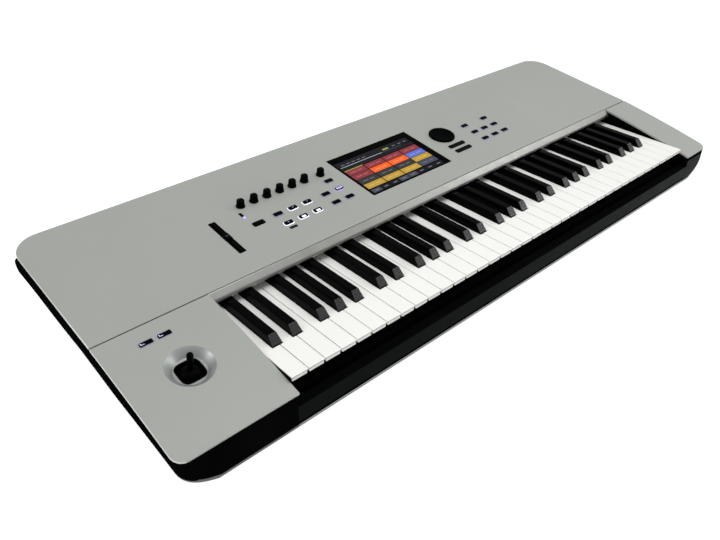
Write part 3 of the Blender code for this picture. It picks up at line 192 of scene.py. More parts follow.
STEEL = surface("zinc_steel", (0.42, 0.43, 0.44), 0.38, metal=1.0, vary=0.10, vary_scale=26.0, fleck=0.08,
                bump=0.00001, stretch=(1.0, 6.0, 6.0))
DARK_STEEL = surface("black_steel", (0.0018, 0.0018, 0.0018), 0.55, spec=0.02, vary=0.2, vary_scale=30.0,
                     fleck=0.2, bump=0.00002)
BOWL = surface("bowl_metal", (0.40, 0.42, 0.41), 0.42, metal=0.62, vary=0.03, vary_scale=60.0,
               rough_vary=0.02)
BOARD = surface("solder_mask", (0.012, 0.075, 0.030), 0.35, vary=0.15, vary_scale=70.0, fleck=0.2,
                fleck_scale=400.0, bump=0.00004, bump_scale=500.0)
RUBBER = surface("foot_rubber", (0.010, 0.010, 0.010), 0.85, spec=0.2, vary=0.2, vary_scale=120.0,
                 bump=0.00006, bump_scale=1500.0)
FELT = surface("felt", (0.0035, 0.0033, 0.0036), 0.95, spec=0.05, vary=0.3, vary_scale=300.0, fleck=0.4,
               fleck_scale=1800.0, bump=0.0002, bump_scale=1800.0)
GLASS = surface("screen_border", (0.0006, 0.0006, 0.0007), 0.07, spec=0.012, vary=0.2, vary_scale=30.0,
                rough_vary=0.02)
WINDOW = surface("smoked_window", (0.012, 0.016, 0.014), 0.20, spec=0.06, vary=0.1, vary_scale=300.0)
INK = surface("panel_ink", (0.20, 0.215, 0.205), 0.6, spec=0.2, vary=0.1, vary_scale=300.0)
LIT_WHITE = surface("light_guide_white", (0.80, 0.78, 0.95), 0.35, glow=0.75,
                    glow_colour=(0.93, 0.90, 1.0), vary=0.03, vary_scale=200.0)
LIT_PALE = surface("light_guide_pale", (0.55, 0.48, 0.85), 0.35, glow=0.30, glow_colour=(0.62, 0.52, 1.0),
                   vary=0.05, vary_scale=200.0)
LIT_DIM = surface("light_guide_dim", (0.30, 0.27, 0.43), 0.35, glow=0.06, glow_colour=(0.50, 0.42, 1.0),
                  vary=0.08, vary_scale=200.0)
LED_BLUE = surface("led_blue", (0.30, 0.28, 0.95), 0.3, glow=1.0, glow_colour=(0.40, 0.37, 1.0), vary=0.05,
                   vary_scale=400.0)


def screen_tint(name, colour):
    """A lit colour of the screen's picture."""
    return surface(name, tuple(0.25 * c for c in colour), 0.10, spec=0.02, vary=0.12, vary_scale=260.0,
                   fleck=0.05, fleck_scale=2500.0, rough_vary=0.02, glow=0.85, glow_colour=colour)


SCREEN = {
    "ground": screen_tint("screen_ground", (0.003, 0.003, 0.004)),
    "header": screen_tint("screen_header", (0.014, 0.015, 0.018)),
    "tab": screen_tint("screen_tab", (0.30, 0.38, 0.05)),
    "bar": screen_tint("screen_bar", (0.40, 0.40, 0.44)),
    "red": screen_tint("screen_red", (0.25, 0.045, 0.054)),
    "orange": screen_tint("screen_orange", (0.88, 0.130, 0.026)),
    "blue": screen_tint("screen_blue", (0.11, 0.17, 0.58)),
    "yellow": screen_tint("screen_yellow", (0.48, 0.30, 0.050)),
    "grey": screen_tint("screen_grey", (0.038, 0.042, 0.044)),
    "slate": screen_tint("screen_slate", (0.062, 0.072, 0.105)),
    "mark": screen_tint("screen_mark", (0.16, 0.16, 0.18)),
    "rose": screen_tint("screen_rose", (0.40, 0.15, 0.16)),
    "peach": screen_tint("screen_peach", (0.95, 0.32, 0.14)),
    "sky": screen_tint("screen_sky", (0.26, 0.33, 0.74)),
    "straw": screen_tint("screen_straw", (0.64, 0.47, 0.16)),
}
TILE_MARK = {"red": "rose", "orange": "peach", "blue": "sky", "yellow": "straw", "grey": "mark",
             "slate": "mark"}


# Shapes

def add(name, mesh, material, frame_matrix=None):
    if frame_matrix:
        mesh.transform(frame_matrix)
    for item in material if isinstance(material, (list, tuple)) else [material]:
        mesh.materials.append(item)
    obj = bpy.data.objects.new(name, mesh)
    bpy.context.scene.collection.objects.link(obj)
    return obj


def settle(obj):
    """Applies the modifiers."""
    graph = bpy.context.evaluated_depsgraph_get()
    mesh = bpy.data.meshes.new_from_object(obj.evaluated_get(graph))
    obj.modifiers.clear()
    obj.data = mesh
    return obj


def smooth(obj, angle=32):
    """Smooth shading between the sharp edges; the larger faces lead, so flat ones stay flat."""
    obj.data.shade_smooth()
    obj.data.set_sharp_from_angle(angle=radians(angle))
    lead = obj.modifiers.new("lead", "WEIGHTED_NORMAL")
    lead.keep_sharp = True
    lead.weight = 80
    return settle(obj)


def seat(obj, body, slot, *nodes):
    """The piece rides on its body and stands for the nodes it replaces; slot is not used."""
    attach(obj, body)
    if nodes:
        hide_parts(*nodes)
    return obj


def from_bmesh(name, bm, material, frame_matrix=None, outward=True):
    """A piece from its faces, which are turned outward unless they already look the right way."""
    mesh = bpy.data.meshes.new(name)
    if outward:
        bmesh.ops.recalc_face_normals(bm, faces=bm.faces)
    bm.to_mesh(mesh)
    bm.free()
    return add(name, mesh, material, frame_matrix)


def bevel(obj, width, segments=2, angle=30):
    edge = obj.modifiers.new("edge", "BEVEL")
    edge.width = width
    edge.segments = segments
    edge.limit_method = "ANGLE"
    edge.angle_limit = radians(angle)
    return obj


def solidify(obj, thickness):
    wall = obj.modifiers.new("wall", "SOLIDIFY")
    wall.thickness = thickness
    wall.offset = -1.0
    wall.use_even_offset = True
    return obj


def cut(obj, tool):
    tool.hide_render = True
    hole = obj.modifiers.new("hole", "BOOLEAN")
    hole.operation = "DIFFERENCE"
    hole.solver = "EXACT"
    hole.object = tool
    settle(obj)
    bpy.data.objects.remove(tool)
    return obj


def loft(bm, rows, closed=True, caps=False):
    rings = [[bm.verts.new(point) for point in row] for row in rows]
    for low, high in zip(rings, rings[1:]):
        count = len(low)
        for i in range(count if closed else count - 1):
            j = (i + 1) % count
            bm.faces.new((low[i], low[j], high[j], high[i]))
    if caps:
        bm.faces.new(rings[0][::-1])
        bm.faces.new(rings[-1])
    return rings


def arc(centre, radius, start, end, steps):
    return [(centre[0] + radius * cos(radians(start + (end - start) * k / steps)),
             centre[1] + radius * sin(radians(start + (end - start) * k / steps))) for k in range(steps + 1)]


def round_rect(x, v, width, depth, radius, steps=6):
    points = []
    reach_x, reach_v = width / 2 - radius, depth / 2 - radius
    for sx, sy, start in ((1, -1, 270), (1, 1, 0), (-1, 1, 90), (-1, -1, 180)):
        points += arc((x + sx * reach_x, v + sy * reach_v), radius, start, start + 90, steps)
    return points


def circle(x, v, radius, steps=40):
    return arc((x, v), radius, 0, 360, steps)[:-1]


def sheet(name, loops, low, high, material, matrix=PANEL, edge=0.0002, steps=2):
    """Flat outlines, with any holes, made solid with rounded edges by one filled 2D curve."""
    curve = bpy.data.curves.new(name, "CURVE")
    curve.dimensions = "2D"
    curve.fill_mode = "BOTH"
    curve.extrude = (high - low) / 2 - edge
    curve.bevel_depth = edge
    curve.bevel_resolution = steps
    curve.offset = -edge
    for loop in loops:
        spline = curve.splines.new("POLY")
        spline.points.add(len(loop) - 1)
        for place, (x, y) in zip(spline.points, loop):
            place.co = (x, y, 0, 1)
        spline.use_cyclic_u = True
    holder = bpy.data.objects.new(name, curve)
    bpy.context.scene.collection.objects.link(holder)
    mesh = bpy.data.meshes.new_from_object(holder.evaluated_get(bpy.context.evaluated_depsgraph_get()))
    bpy.data.objects.remove(holder)
    bm = bmesh.new()
    bm.from_mesh(mesh)
    bmesh.ops.remove_doubles(bm, verts=bm.verts, dist=1e-6)
    bmesh.ops.recalc_face_normals(bm, faces=bm.faces)
    bm.to_mesh(mesh)
    bm.free()
    mesh.materials.clear()
    mesh.transform(Matrix.Translation((0, 0, (low + high) / 2)))
    return smooth(add(name, mesh, material, matrix), 40)


def turned(name, profile, steps, material, matrix):
    """(radius, height) profile, spun about the frame's own Z."""
    bm = bmesh.new()
    verts = [bm.verts.new((radius, 0, height)) for radius, height in profile]
    edges = [bm.edges.new(pair) for pair in zip(verts, verts[1:])]
    bmesh.ops.spin(bm, geom=verts + edges, axis=(0, 0, 1), cent=(0, 0, 0), steps=steps, angle=2 * pi,
                   use_merge=True)
    bmesh.ops.remove_doubles(bm, verts=bm.verts, dist=1e-6)
    return smooth(from_bmesh(name, bm, material, matrix))


def softened(profile, radius, steps=3):
    """The profile with its inner corners rounded."""
    points = [profile[0]]
    for before, corner, after in zip(profile, profile[1:], profile[2:]):
        before, corner, after = Vector(before), Vector(corner), Vector(after)
        a = corner + (before - corner).normalized() * min(radius, (before - corner).length / 2)
        b = corner + (after - corner).normalized() * min(radius, (after - corner).length / 2)
        for k in range(steps + 1):
            t = k / steps
            points.append(tuple(a * (1 - t) ** 2 + corner * 2 * t * (1 - t) + b * t ** 2))
    return points + [profile[-1]]


def refined(node, material, slot, width=0.0004, segments=2, angle=25, split=None, before=None, after=None):
    """A copy of a node's own shape with its edges rounded; before and after reshape it round that step."""
    mesh = NODES[node].data.copy()
    mesh.materials.clear()
    bm = bmesh.new()
    bm.from_mesh(mesh)
    bmesh.ops.remove_doubles(bm, verts=bm.verts, dist=2e-6)
    bmesh.ops.dissolve_limit(bm, angle_limit=radians(0.5), verts=bm.verts, edges=bm.edges)
    for edge in bm.edges:
        edge.smooth = True
    if before:
        before(bm)
    if split:
        for face in bm.faces:
            face.material_index = split(face)
    bm.to_mesh(mesh)
    bm.free()
    obj = add(node + "_dressed", mesh, material)
    settle(bevel(obj, width, segments, angle))
    if after:
        bm = bmesh.new()
        bm.from_mesh(obj.data)
        after(bm)
        bm.to_mesh(obj.data)
        bm.free()
    smooth(obj, 30)
    return seat(obj, NODES[node]["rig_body"], slot, node)


def sliced(bm, place, normal):
    bmesh.ops.bisect_plane(bm, geom=bm.verts[:] + bm.edges[:] + bm.faces[:], plane_co=place, plane_no=normal)


# Keys and slip

WHITE_TOP = 0.0645
KEY_FRONT, KEY_LEFT, KEY_PITCH = -0.1778, -0.3838, 0.165 / 7
# The line of painted shade under a white key's top plate, and how the front below it is set back, narrowed
# and lengthened
LINE_TOP, LINE_FOOT, LIP_TOP = 0.0004, 0.0015, 0.0017
LIP_REAR, LIP_SET_BACK, LIP_NARROWER = KEY_FRONT + 0.0012, 0.0008, 0.10
LIP_MIDDLE, LIP_LOWER = 0.0040, 0.0018
# A black key's front slope: its foot, how far back its top lies, and how far forward that moves
BLACK_FRONT, SLOPE_REACH, SLOPE_SHIFT = -0.1248, 0.0150, 0.0030
BLACK_SHOULDER = WHITE_TOP + 0.006
GROOVE_LOW, GROOVE_HIGH, SLIP_STRIP_TOP = 0.0069, 0.0074, BASE_Z + 0.0046


def lipped(bm):
    """Sets each white key's front back under its top plate, narrower than it, with a line of painted shade
    between.
    """
    sliced(bm, (0, KEY_FRONT + 0.0020, 0), (0, 1, 0))
    for below in (LINE_TOP, LINE_FOOT, LINE_FOOT + 0.0003):
        sliced(bm, (0, 0, WHITE_TOP - below), (0, 0, 1))
    for vert in bm.verts:
        if vert.co.y < LIP_REAR and vert.co.z < WHITE_TOP - LIP_TOP:
            key = int((vert.co.x - KEY_LEFT) / KEY_PITCH)
            middle = KEY_LEFT + KEY_PITCH * (key + 0.5)
            vert.co.x += (middle - vert.co.x) * LIP_NARROWER
            vert.co.y += LIP_SET_BACK
            if vert.co.z < WHITE_TOP - LIP_MIDDLE:
                vert.co.z -= LIP_LOWER
    bm.normal_update()
    # The front faces just under the top plate take the painted shade
    for face in bm.faces:
        middle = face.calc_center_median()
        if face.normal.y < -0.3 and LINE_TOP < WHITE_TOP - middle.z < LINE_FOOT and middle.y < LIP_REAR:
            face.material_index = 1


def steep(bm):
    """Brings the top of each black key's front slope nearer to its foot."""
    for vert in bm.verts:
        if vert.co.z > BLACK_SHOULDER and vert.co.y < BLACK_FRONT + SLOPE_REACH:
            vert.co.y -= SLOPE_SHIFT


def upright(bm):
    """Stands the strip under the key slip upright and marks its fine groove."""
    for vert in bm.verts:
        if vert.co.z < BASE_Z + 0.001 and vert.co.y < FRONT + 0.0060:
            vert.co.y = FRONT + 0.0004
    for level in (GROOVE_LOW, GROOVE_HIGH):
        sliced(bm, (0, 0, level), (0, 0, 1))


def slip_part(face):
    """Rail with the groove, the lighter grey band along its foot, or the dark shelf on top."""
    middle = face.calc_center_median()
    if middle.z < SLIP_STRIP_TOP and face.normal.y < -0.9:
        return 0 if GROOVE_LOW < middle.z < GROOVE_HIGH else 1
    return 2 if face.normal.z > 0.5 else 0


def is_white_key(node):
    single = node.startswith("key_") and "sharp" not in node and node != "key_slip"
    return single or node.startswith("white_keys")


def is_black_key(node):
    return node.startswith("black_keys") or (node.startswith("key_") and "sharp" in node)


def keys():
    for node in NODES:
        if is_white_key(node):
            refined(node, [WHITE, KEY_SHADE], "key_white", 0.0005, 3, 20, after=lipped)
        elif is_black_key(node):
            refined(node, [BLACK, BLACK_SLOPE], "key_black", 0.0009, 3, 20, before=steep,
                    split=lambda face: 1 if face.normal.y < -0.6 else 0)


def slip():
    refined("key_slip", [SLIP_BLACK, STRIP, HULL_BLACK], "case_black", 0.0004, 2, split=slip_part,
            before=upright)


# Top panel and its nose

PANEL_RADIUS = 0.036
NOSE_RADIUS = 0.010


def panel_skin():
    radius = PANEL_RADIUS
    outline = [(-HALF_WIDTH, SEAM / 2), (HALF_WIDTH, SEAM / 2)]
    outline += arc((HALF_WIDTH - radius, PANEL_LENGTH - radius), radius, 0, 90, 24)
    outline += arc((radius - HALF_WIDTH, PANEL_LENGTH - radius), radius, 90, 180, 24)
    loops = [outline, round_rect(*GLASS_PLACE, GLASS_SIZE[0] + 0.0006, GLASS_SIZE[1] + 0.0006, 0.0010, 3),
             round_rect(*SLIDER_PLACE, *SLOT, 0.0008, 3)]
    loops += [round_rect(x, v, w + 0.0030, d + 0.0030, 0.0020, 5) for x, v, w, d in BUTTON_HOLES]
    loops += [circle(x, v, 0.0036, 24) for x, v in KNOBS]
    loops += [circle(*DIAL_PLACE, 0.0060, 32), round_rect(*LED_PLACE, *LED_HOLE, 0.0018, 5),
              round_rect(*INDICATOR_PLACE, *INDICATOR_HOLE, 0.0009, 4)]
    skin = sheet("panel_skin", loops, -SHEET, 0.0, [PAINT, PAINT_EDGE_HIGHLIGHT], edge=0.0007)
    return seat(painted_highlight_side(skin), CASING, "panel_grey_paint", "top_panel")


def painted_highlight_side(piece):
    """Puts the lighter, glossier edge paint on the faces that look out over the end mouldings: real gloss
    plus a painted highlight.
    """
    for face in piece.data.polygons:
        if abs(face.normal.x) > 0.25 and abs(face.center.x) > HALF_WIDTH - 0.016:
            face.material_index = 1
    return piece


def nose():
    """Rolled front of the panel, a nearly flat band set off from the plate by a fine line."""
    inner = NOSE_RADIUS - SHEET
    outer_path = softened([(0.0002, -0.0007), (-0.0004, -0.0002), (-0.0087, -0.0058), (-0.0100, -0.0090),
                           (-0.0098, -0.0103)], 0.0010, 6)
    inner_path = arc((0.0, -NOSE_RADIUS), inner, 90, 180, 20)
    tip = [(-0.0092, -0.0105), (inner_path[-1][0] - 0.0003, inner_path[-1][1] - 0.0003)]
    path = outer_path + tip + inner_path[::-1][1:] + [(0.0, -SHEET)]
    bm = bmesh.new()
    ends = (COVER_LEFT + GAP, COVER_RIGHT - GAP)
    loft(bm, [[(x, v, h) for v, h in path] for x in ends], caps=True)
    piece = from_bmesh("panel_nose", bm, NOSE_PAINT, PANEL)
    return seat(smooth(piece, 35), CASING, "panel_grey_paint")


# End mouldings: levels run from the floor, 0, to the rim under the cover, 1

BLOCK_REAR = REAR - 0.004
# How far the side draws in at the floor, the powers of its curve, and where they blend
DRAW_IN, CURL_FRONT, CURL_REAR = 0.038, 3.0, 1.4
FAIR_START, FAIR_RUN = -0.060, 0.192
# How far the side stands out from the panel's edge, where that starts and ends, and its round tip
FLARE, FLARE_START, FLARE_END, FLARE_ROUND = 0.0045, 0.020, 0.158, 0.008
FRONT_RADIUS, FRONT_RADIUS_LOW, REAR_RADIUS_LOW = 0.014, 0.006, 0.008
RIM_GAP, RIM_DROP, HULL_WALL = 0.0005, 0.005, 0.0025
FOOT_LEVEL, FOOT_SET_BACK = 0.02, 0.0006
CORNER_STEPS = 20
# Strip of painted sheen, the floor's reflection painted as lighter grey: its rings along the front, the
# levels where it turns up and ends, its climb, and its width
STRIP_RINGS, STRIP_TOP, STRIP_END, STRIP_CLIMB, STRIP_FACE = 3, 0.38, 0.74, 250, 0.0062
COVER_EDGE = 0.0072


def hull_inset(y, level):
    """How far the side has drawn in under the rim; it is fuller at the front than at the rear."""
    along = min(max((y - FAIR_START) / FAIR_RUN, 0.0), 1.0)
    return DRAW_IN * (1.0 - level) ** (CURL_FRONT - (CURL_FRONT - CURL_REAR) * along)


def hull_flare(y):
    """The side stands out from the panel's edge towards the rear and ends in a round tip."""
    past = (y - FLARE_END) / FLARE_ROUND
    if past > 0:
        return FLARE * (1 - min(past, 1) ** 2) ** 0.5
    return FLARE * max(0.0, (y - FLARE_START) / (FLARE_END - FLARE_START))


def strip_width(level, radius):
    """How far the painted sheen strip reaches past the front corner: further near the floor, where the side
    is flatter.
    """
    rise = COVER_Z - SHEET - RIM_GAP - RIM_DROP - BASE_Z
    run = CURL_FRONT * DRAW_IN * (1.0001 - level) ** (CURL_FRONT - 1)
    return max(0.0005, STRIP_FACE / sin(atan(rise / run)) - 0.8 * radius)


def in_sheen_strip(ring, place, level):
    """Whether a face of the hull is in the strip of painted sheen, which climbs round the front corner."""
    if place == 0:
        return ring < STRIP_RINGS
    if place == 1:
        return level < STRIP_TOP
    turn = 90 * (place - 1.5) / CORNER_STEPS
    return turn < 90 and level < STRIP_END and turn > STRIP_CLIMB * (level - STRIP_TOP)


def hull(name, side, inner, node):
    """End moulding whose outer side curves in underneath, with corners that tighten towards the floor."""
    span = HALF_WIDTH - abs(inner)
    stations = [CREASE_Y + (FRONT - CREASE_Y) * k / 12 for k in range(11, -1, -1)]
    stations += [CREASE_Y + (0.150 - CREASE_Y) * k / 12 for k in range(1, 12)]
    rear_station = BLOCK_REAR - PANEL_RADIUS
    levels = [0.0, 0.02, 0.05, 0.10] + [0.10 + 0.033 * k for k in range(1, 18)] + [0.72, 0.82, 0.91, 1.0]

    def row(level, rim):
        front = FRONT + FOOT_SET_BACK * max(0.0, 1 - level / FOOT_LEVEL)
        near = FRONT_RADIUS_LOW + (FRONT_RADIUS - FRONT_RADIUS_LOW) * level
        far = REAR_RADIUS_LOW + (PANEL_RADIUS - REAR_RADIUS_LOW) * max(0.0, 2 * level - 1)
        near_x = near + hull_inset(front + near, level)
        far_x = far + hull_inset(BLOCK_REAR - far, level)
        plan = [(span, front), (near_x + strip_width(level, near), front)]
        plan += arc((near_x, front + near), near, 270, 180, CORNER_STEPS)
        plan += [(hull_inset(y, level), y) for y in stations]
        plan += arc((far_x, BLOCK_REAR - far), far, 180, 90, 20)
        plan += [(span, BLOCK_REAR), (span, rear_station)] + [(span, y) for y in reversed(stations)]
        points = []
        for inset, y in plan:
            under = top_z(min(y, BLOCK_REAR - SHEET)) - SHEET - RIM_GAP
            z = under if rim else BASE_Z + (under - RIM_DROP - BASE_Z) * level
            flare = hull_flare(y) if inset < span else 0.0
            points.append((side * (HALF_WIDTH + flare - inset), y, z))
        return points

    bm = bmesh.new()
    rings = loft(bm, [row(level, False) for level in levels] + [row(1.0, True)])
    bm.faces.new(rings[0])
    bmesh.ops.recalc_face_normals(bm, faces=bm.faces)
    for number, face in enumerate(bm.faces):
        ring, place = divmod(number, len(rings[0]))
        centre = face.calc_center_median()
        right_front = side > 0 and face.normal.y < -0.95 and centre.z < top_z(centre.y) - COVER_EDGE
        # Faces in the strip take a lighter grey, a painted reflection of the floor; rear faces and the right
        # block's front take the glossier slip black
        if in_sheen_strip(ring, place, levels[min(ring, len(levels) - 1)]):
            face.material_index = 1
        elif face.normal.y > 0.3 or right_front:
            face.material_index = 2
    piece = from_bmesh(name, bm, [HULL_BLACK, PAINTED_SHEEN, SLIP_BLACK])
    settle(solidify(piece, HULL_WALL))
    return seat(smooth(piece, 38), CASING, "case_black", node)


def cover(name, side, inner, node, holes=()):
    """Crowned cover over an end moulding."""
    corner = arc((FRONT_RADIUS, FRONT + FRONT_RADIUS), FRONT_RADIUS, 270, 180, 12)
    reach = FRONT + FRONT_RADIUS - CREASE_Y
    outline = [(0.0, CREASE_Y - SEAM / 2 + reach * k / 16) for k in range(16)] + corner[::-1]
    rows = [[(side * (HALF_WIDTH - inset), y, cover_z(y)), (inner, y, cover_z(y))] for inset, y in outline]
    bm = bmesh.new()
    loft(bm, rows, closed=False)
    bmesh.ops.recalc_face_normals(bm, faces=bm.faces)
    if sum(face.normal.z for face in bm.faces) < 0:
        bmesh.ops.reverse_faces(bm, faces=bm.faces)
    piece = settle(solidify(from_bmesh(name, bm, [PAINT, PAINT_EDGE_HIGHLIGHT], outward=False), SHEET))
    for tool in holes:
        cut(piece, tool)
    settle(bevel(piece, 0.0009, 3, 35))
    return seat(painted_highlight_side(smooth(piece, 30)), CASING, "panel_grey_paint", node)


def cutter(name, loops, matrix):
    return sheet(name, loops, -0.01, 0.01, PAINT, matrix, 0.0)


def covers():
    """Both end covers; the left one has openings for the bowl and its two buttons."""
    switch_holes = [round_rect(x, 0, 0.0169, 0.0065, 0.0014) for x in SWITCHES.values()]
    holes = [cutter("bowl_hole", [circle(0, 0, BOWL_HOLE, 96)], STICK),
             cutter("switch_holes", switch_holes, SWITCH_FRAME)]
    cover("left_cover_skin", -1, COVER_LEFT, "left_cover", holes)
    cover("right_cover_skin", 1, COVER_RIGHT, "right_cover")


# Controls: places along X and up the panel from the crease

PITCH = 0.0251
SMALL = (0.0122, 0.0060)
CAP_LOW, CAP_HIGH = -0.0040, 0.0016
MARK_LOW, MARK_HIGH, MARK_EDGE = 0.0012, 0.00168, 0.00005
FRONT_ROW, MIDDLE_ROW, REAR_ROW = 0.0560, 0.0795, 0.1030
LEFT_X = [-0.2233 + PITCH * k for k in range(3)]
MID_X = [-0.1389 + PITCH * k for k in range(2)]
RIGHT_X = [0.1877 + PITCH * k for k in range(3)]
STRIPS = {
    "button_row_upper": [(x, MIDDLE_ROW, lit) for x, lit in zip(LEFT_X, ("dim", "white", "white"))],
    "button_row_lower": [(x, FRONT_ROW, "white") for x in LEFT_X],
    "button_group_centre": [(MID_X[1], REAR_ROW, "dim"),
                            (MID_X[0], MIDDLE_ROW, "dim"), (MID_X[1], MIDDLE_ROW, "pale"),
                            (MID_X[0], FRONT_ROW, "dim"), (MID_X[1], FRONT_ROW, "dim")],
    "button_row_right_rear": [(RIGHT_X[0], REAR_ROW, "dim"), (RIGHT_X[2], REAR_ROW, "dim")],
    "button_row_right_middle": [(x, MIDDLE_ROW, "dim") for x in RIGHT_X],
    "button_row_right_front": [(x, FRONT_ROW, "dim") for x in RIGHT_X],
}
GUIDES = {"white": LIT_WHITE, "pale": LIT_PALE, "dim": LIT_DIM}
WIDE = {
    "select_button": (-0.2564, 0.0776, 0.0172, 0.0078),
    "decrement_button": (0.1290, 0.0529, 0.0345, 0.0073),
    "increment_button": (0.1290, 0.0678, 0.0345, 0.0073),
}
BUTTON_HOLES = [(x, v, *SMALL) for places in STRIPS.values() for x, v, _ in places]
BUTTON_HOLES += [(x, v, w - 0.0024, d - 0.0024) for x, v, w, d in WIDE.values()]
KNOB_RADIUS, KNOB_LOW, KNOB_HIGH = 0.0053, 0.0006, 0.0113
KNOBS = [(-0.2548 + 0.0221 * k, 0.1222) for k in range(6)] + [(-0.1141, 0.1222)]
DIAL_PLACE, DIAL_RADIUS, DIAL_HIGH = (0.1284, 0.1012), 0.0217, 0.0036
SLIDER_PLACE, SLOT = (-0.3075, 0.0765), (0.0104, 0.0736)
LED_PLACE, LED_HOLE = (-0.265, 0.1035), (0.0042, 0.0144)
INDICATOR_PLACE, INDICATOR_HOLE = (-0.2230, 0.0455), (0.0122, 0.0048)
GLASS_PLACE, GLASS_SIZE, GLASS_SHEET = (0.0005, 0.0921), (0.1665, 0.1075), 0.0022


def lit_marks(name, node, loops, material):
    """Marks that shine through the caps, a hair proud of them."""
    if loops:
        marks = sheet(name, loops, MARK_LOW, MARK_HIGH, material, edge=MARK_EDGE)
        seat(marks, node, "lit_surround")


def white_marks(node, places):
    """Bright patches on the last two buttons of the lower row, and faint ones on the other white ones."""
    bright = places[1:] if node == "button_row_lower" else []
    faint = [place for place in places if place not in bright]
    for kind, size, drop, spots, material in (("bright", (0.0062, 0.0036), 0.0014, bright, LIT_WHITE),
                                              ("faint", (0.0026, 0.0012), 0.0, faint, LIT_DIM)):
        loops = [round_rect(x, v - drop, *size, 0.0004) for x, v in spots]
        lit_marks(f"{node}_{kind}_marks", node, loops, material)


def button_lights(node, lit, places):
    """The light guide round each opening, and the marks on the caps."""
    loops = []
    for x, v in places:
        loops += [round_rect(x, v - 0.0001, SMALL[0] + 0.0028, SMALL[1] + 0.0028, 0.0021),
                  round_rect(x, v, SMALL[0] + 0.0012, SMALL[1] + 0.0008, 0.0013)]
    ring = sheet(f"{node}_guide_{lit}", loops, -0.0015, 0.0003, GUIDES[lit], edge=0.00015)
    seat(ring, CASING, "lit_surround")
    if lit == "white":
        white_marks(node, places)
    if lit == "pale":
        loops = [round_rect(x + dx, v, 0.0030, 0.0038, 0.0005)
                 for x, v in places for dx in (-0.0037, 0.0, 0.0037)]
        lit_marks(f"{node}_lit", node, loops, LIT_PALE)


def buttons():
    for node, places in STRIPS.items():
        loops = [round_rect(x, v, SMALL[0] + 0.0010, SMALL[1] + 0.0006, 0.0012) for x, v, _ in places]
        caps = sheet(node + "_caps", loops, CAP_LOW, CAP_HIGH, CAP, edge=0.0005, steps=3)
        seat(caps, node, "button_black", node)
        for lit in GUIDES:
            marked = [(x, v) for x, v, kind in places if kind == lit]
            if marked:
                button_lights(node, lit, marked)
    for node, (x, v, w, d) in WIDE.items():
        outline = round_rect(x, v, w, d, 0.0011)
        cap = sheet(node + "_cap", [outline], CAP_LOW, CAP_HIGH, WIDE_CAP, edge=0.0006, steps=3)
        seat(cap, node, "button_black", node)


def knobs():
    r, low, high = KNOB_RADIUS, KNOB_LOW, KNOB_HIGH
    profile = softened([(0.0, high - 0.0002), (r * 0.82, high), (r, high - 0.0011), (r * 1.07, low + 0.0030),
                        (0.0064, low + 0.0012), (0.0066, low), (0.0034, low), (0.0033, high - 0.003)], 0.0005)
    for number, (x, v) in enumerate(KNOBS, 1):
        node = f"knob_{number}" if number < len(KNOBS) else "tempo_knob"
        knob = turned(node + "_body", profile, 56, KNOB, PANEL @ Matrix.Translation((x, v, 0)))
        seat(knob, node, "knob_black", node)
        mark = round_rect(x, v + 0.0030, 0.0006, 0.0026, 0.0002)
        tick = sheet(node + "_pointer", [mark], high - 0.0006, high + 0.0001, INK, edge=0.00005)
        seat(tick, node, "panel_marking")


def dial():
    """Dished disc with a rounded rim."""
    r, top = DIAL_RADIUS, DIAL_HIGH
    profile = [(0.0, top - 0.0012), (r * 0.3, top - 0.00112), (r * 0.6, top - 0.0008),
               (r * 0.84, top - 0.0002), (r * 0.92, top), (r - 0.0008, top - 0.0002),
               (r - 0.0002, top - 0.0008), (r, top - 0.0016), (r, 0.0007), (0.008, 0.0006)]
    disc = turned("value_dial_disc", profile, 96, DIAL, PANEL @ Matrix.Translation((*DIAL_PLACE, 0)))
    return seat(disc, "value_dial", "knob_black", "value_dial")


def slot_outline(more, radius):
    """The slider's slot, larger or smaller all round."""
    return round_rect(*SLIDER_PLACE, SLOT[0] + more, SLOT[1] + more, radius)


def slider():
    x, v = SLIDER_PLACE
    felt = [slot_outline(0.0002, 0.0009), round_rect(x, v, 0.0032, 0.0700, 0.0010)]
    seat(sheet("slider_slot_liner", felt, -0.0036, -0.0030, FELT, edge=0.0001), CASING, "felt_dark")
    wall = [slot_outline(-0.0001, 0.0008), slot_outline(-0.0006, 0.0008)]
    seat(sheet("slider_slot_walls", wall, -0.0031, -0.0002, HULL_BLACK, edge=0.00005), CASING, "case_black")
    bm = bmesh.new()
    half_w, half_l, low = 0.0046, 0.0060, -0.0028
    ridges = [(half_l, 0.0020), (half_l * 0.86, 0.0024), (half_l * 0.30, 0.0012), (half_l * 0.12, 0.0021)]
    side = [(-a, h) for a, h in ridges] + ridges[::-1] + [(half_l, low), (-half_l, low)]
    loft(bm, [[(x + sx * half_w, v + a, h) for a, h in side] for sx in (-1, 1)], caps=True)
    cap = from_bmesh("slider_cap_grip", bm, KNOB, PANEL)
    settle(bevel(cap, 0.0003, 3, 25))
    seat(smooth(cap), "slider_cap", "knob_black", "slider_cap")
    mark = round_rect(x, v, 0.0040, 0.0006, 0.0002)
    tick = sheet("slider_tick", [mark], 0.0018, 0.00216, INK, edge=0.00005)
    return seat(tick, "slider_cap", "panel_marking")


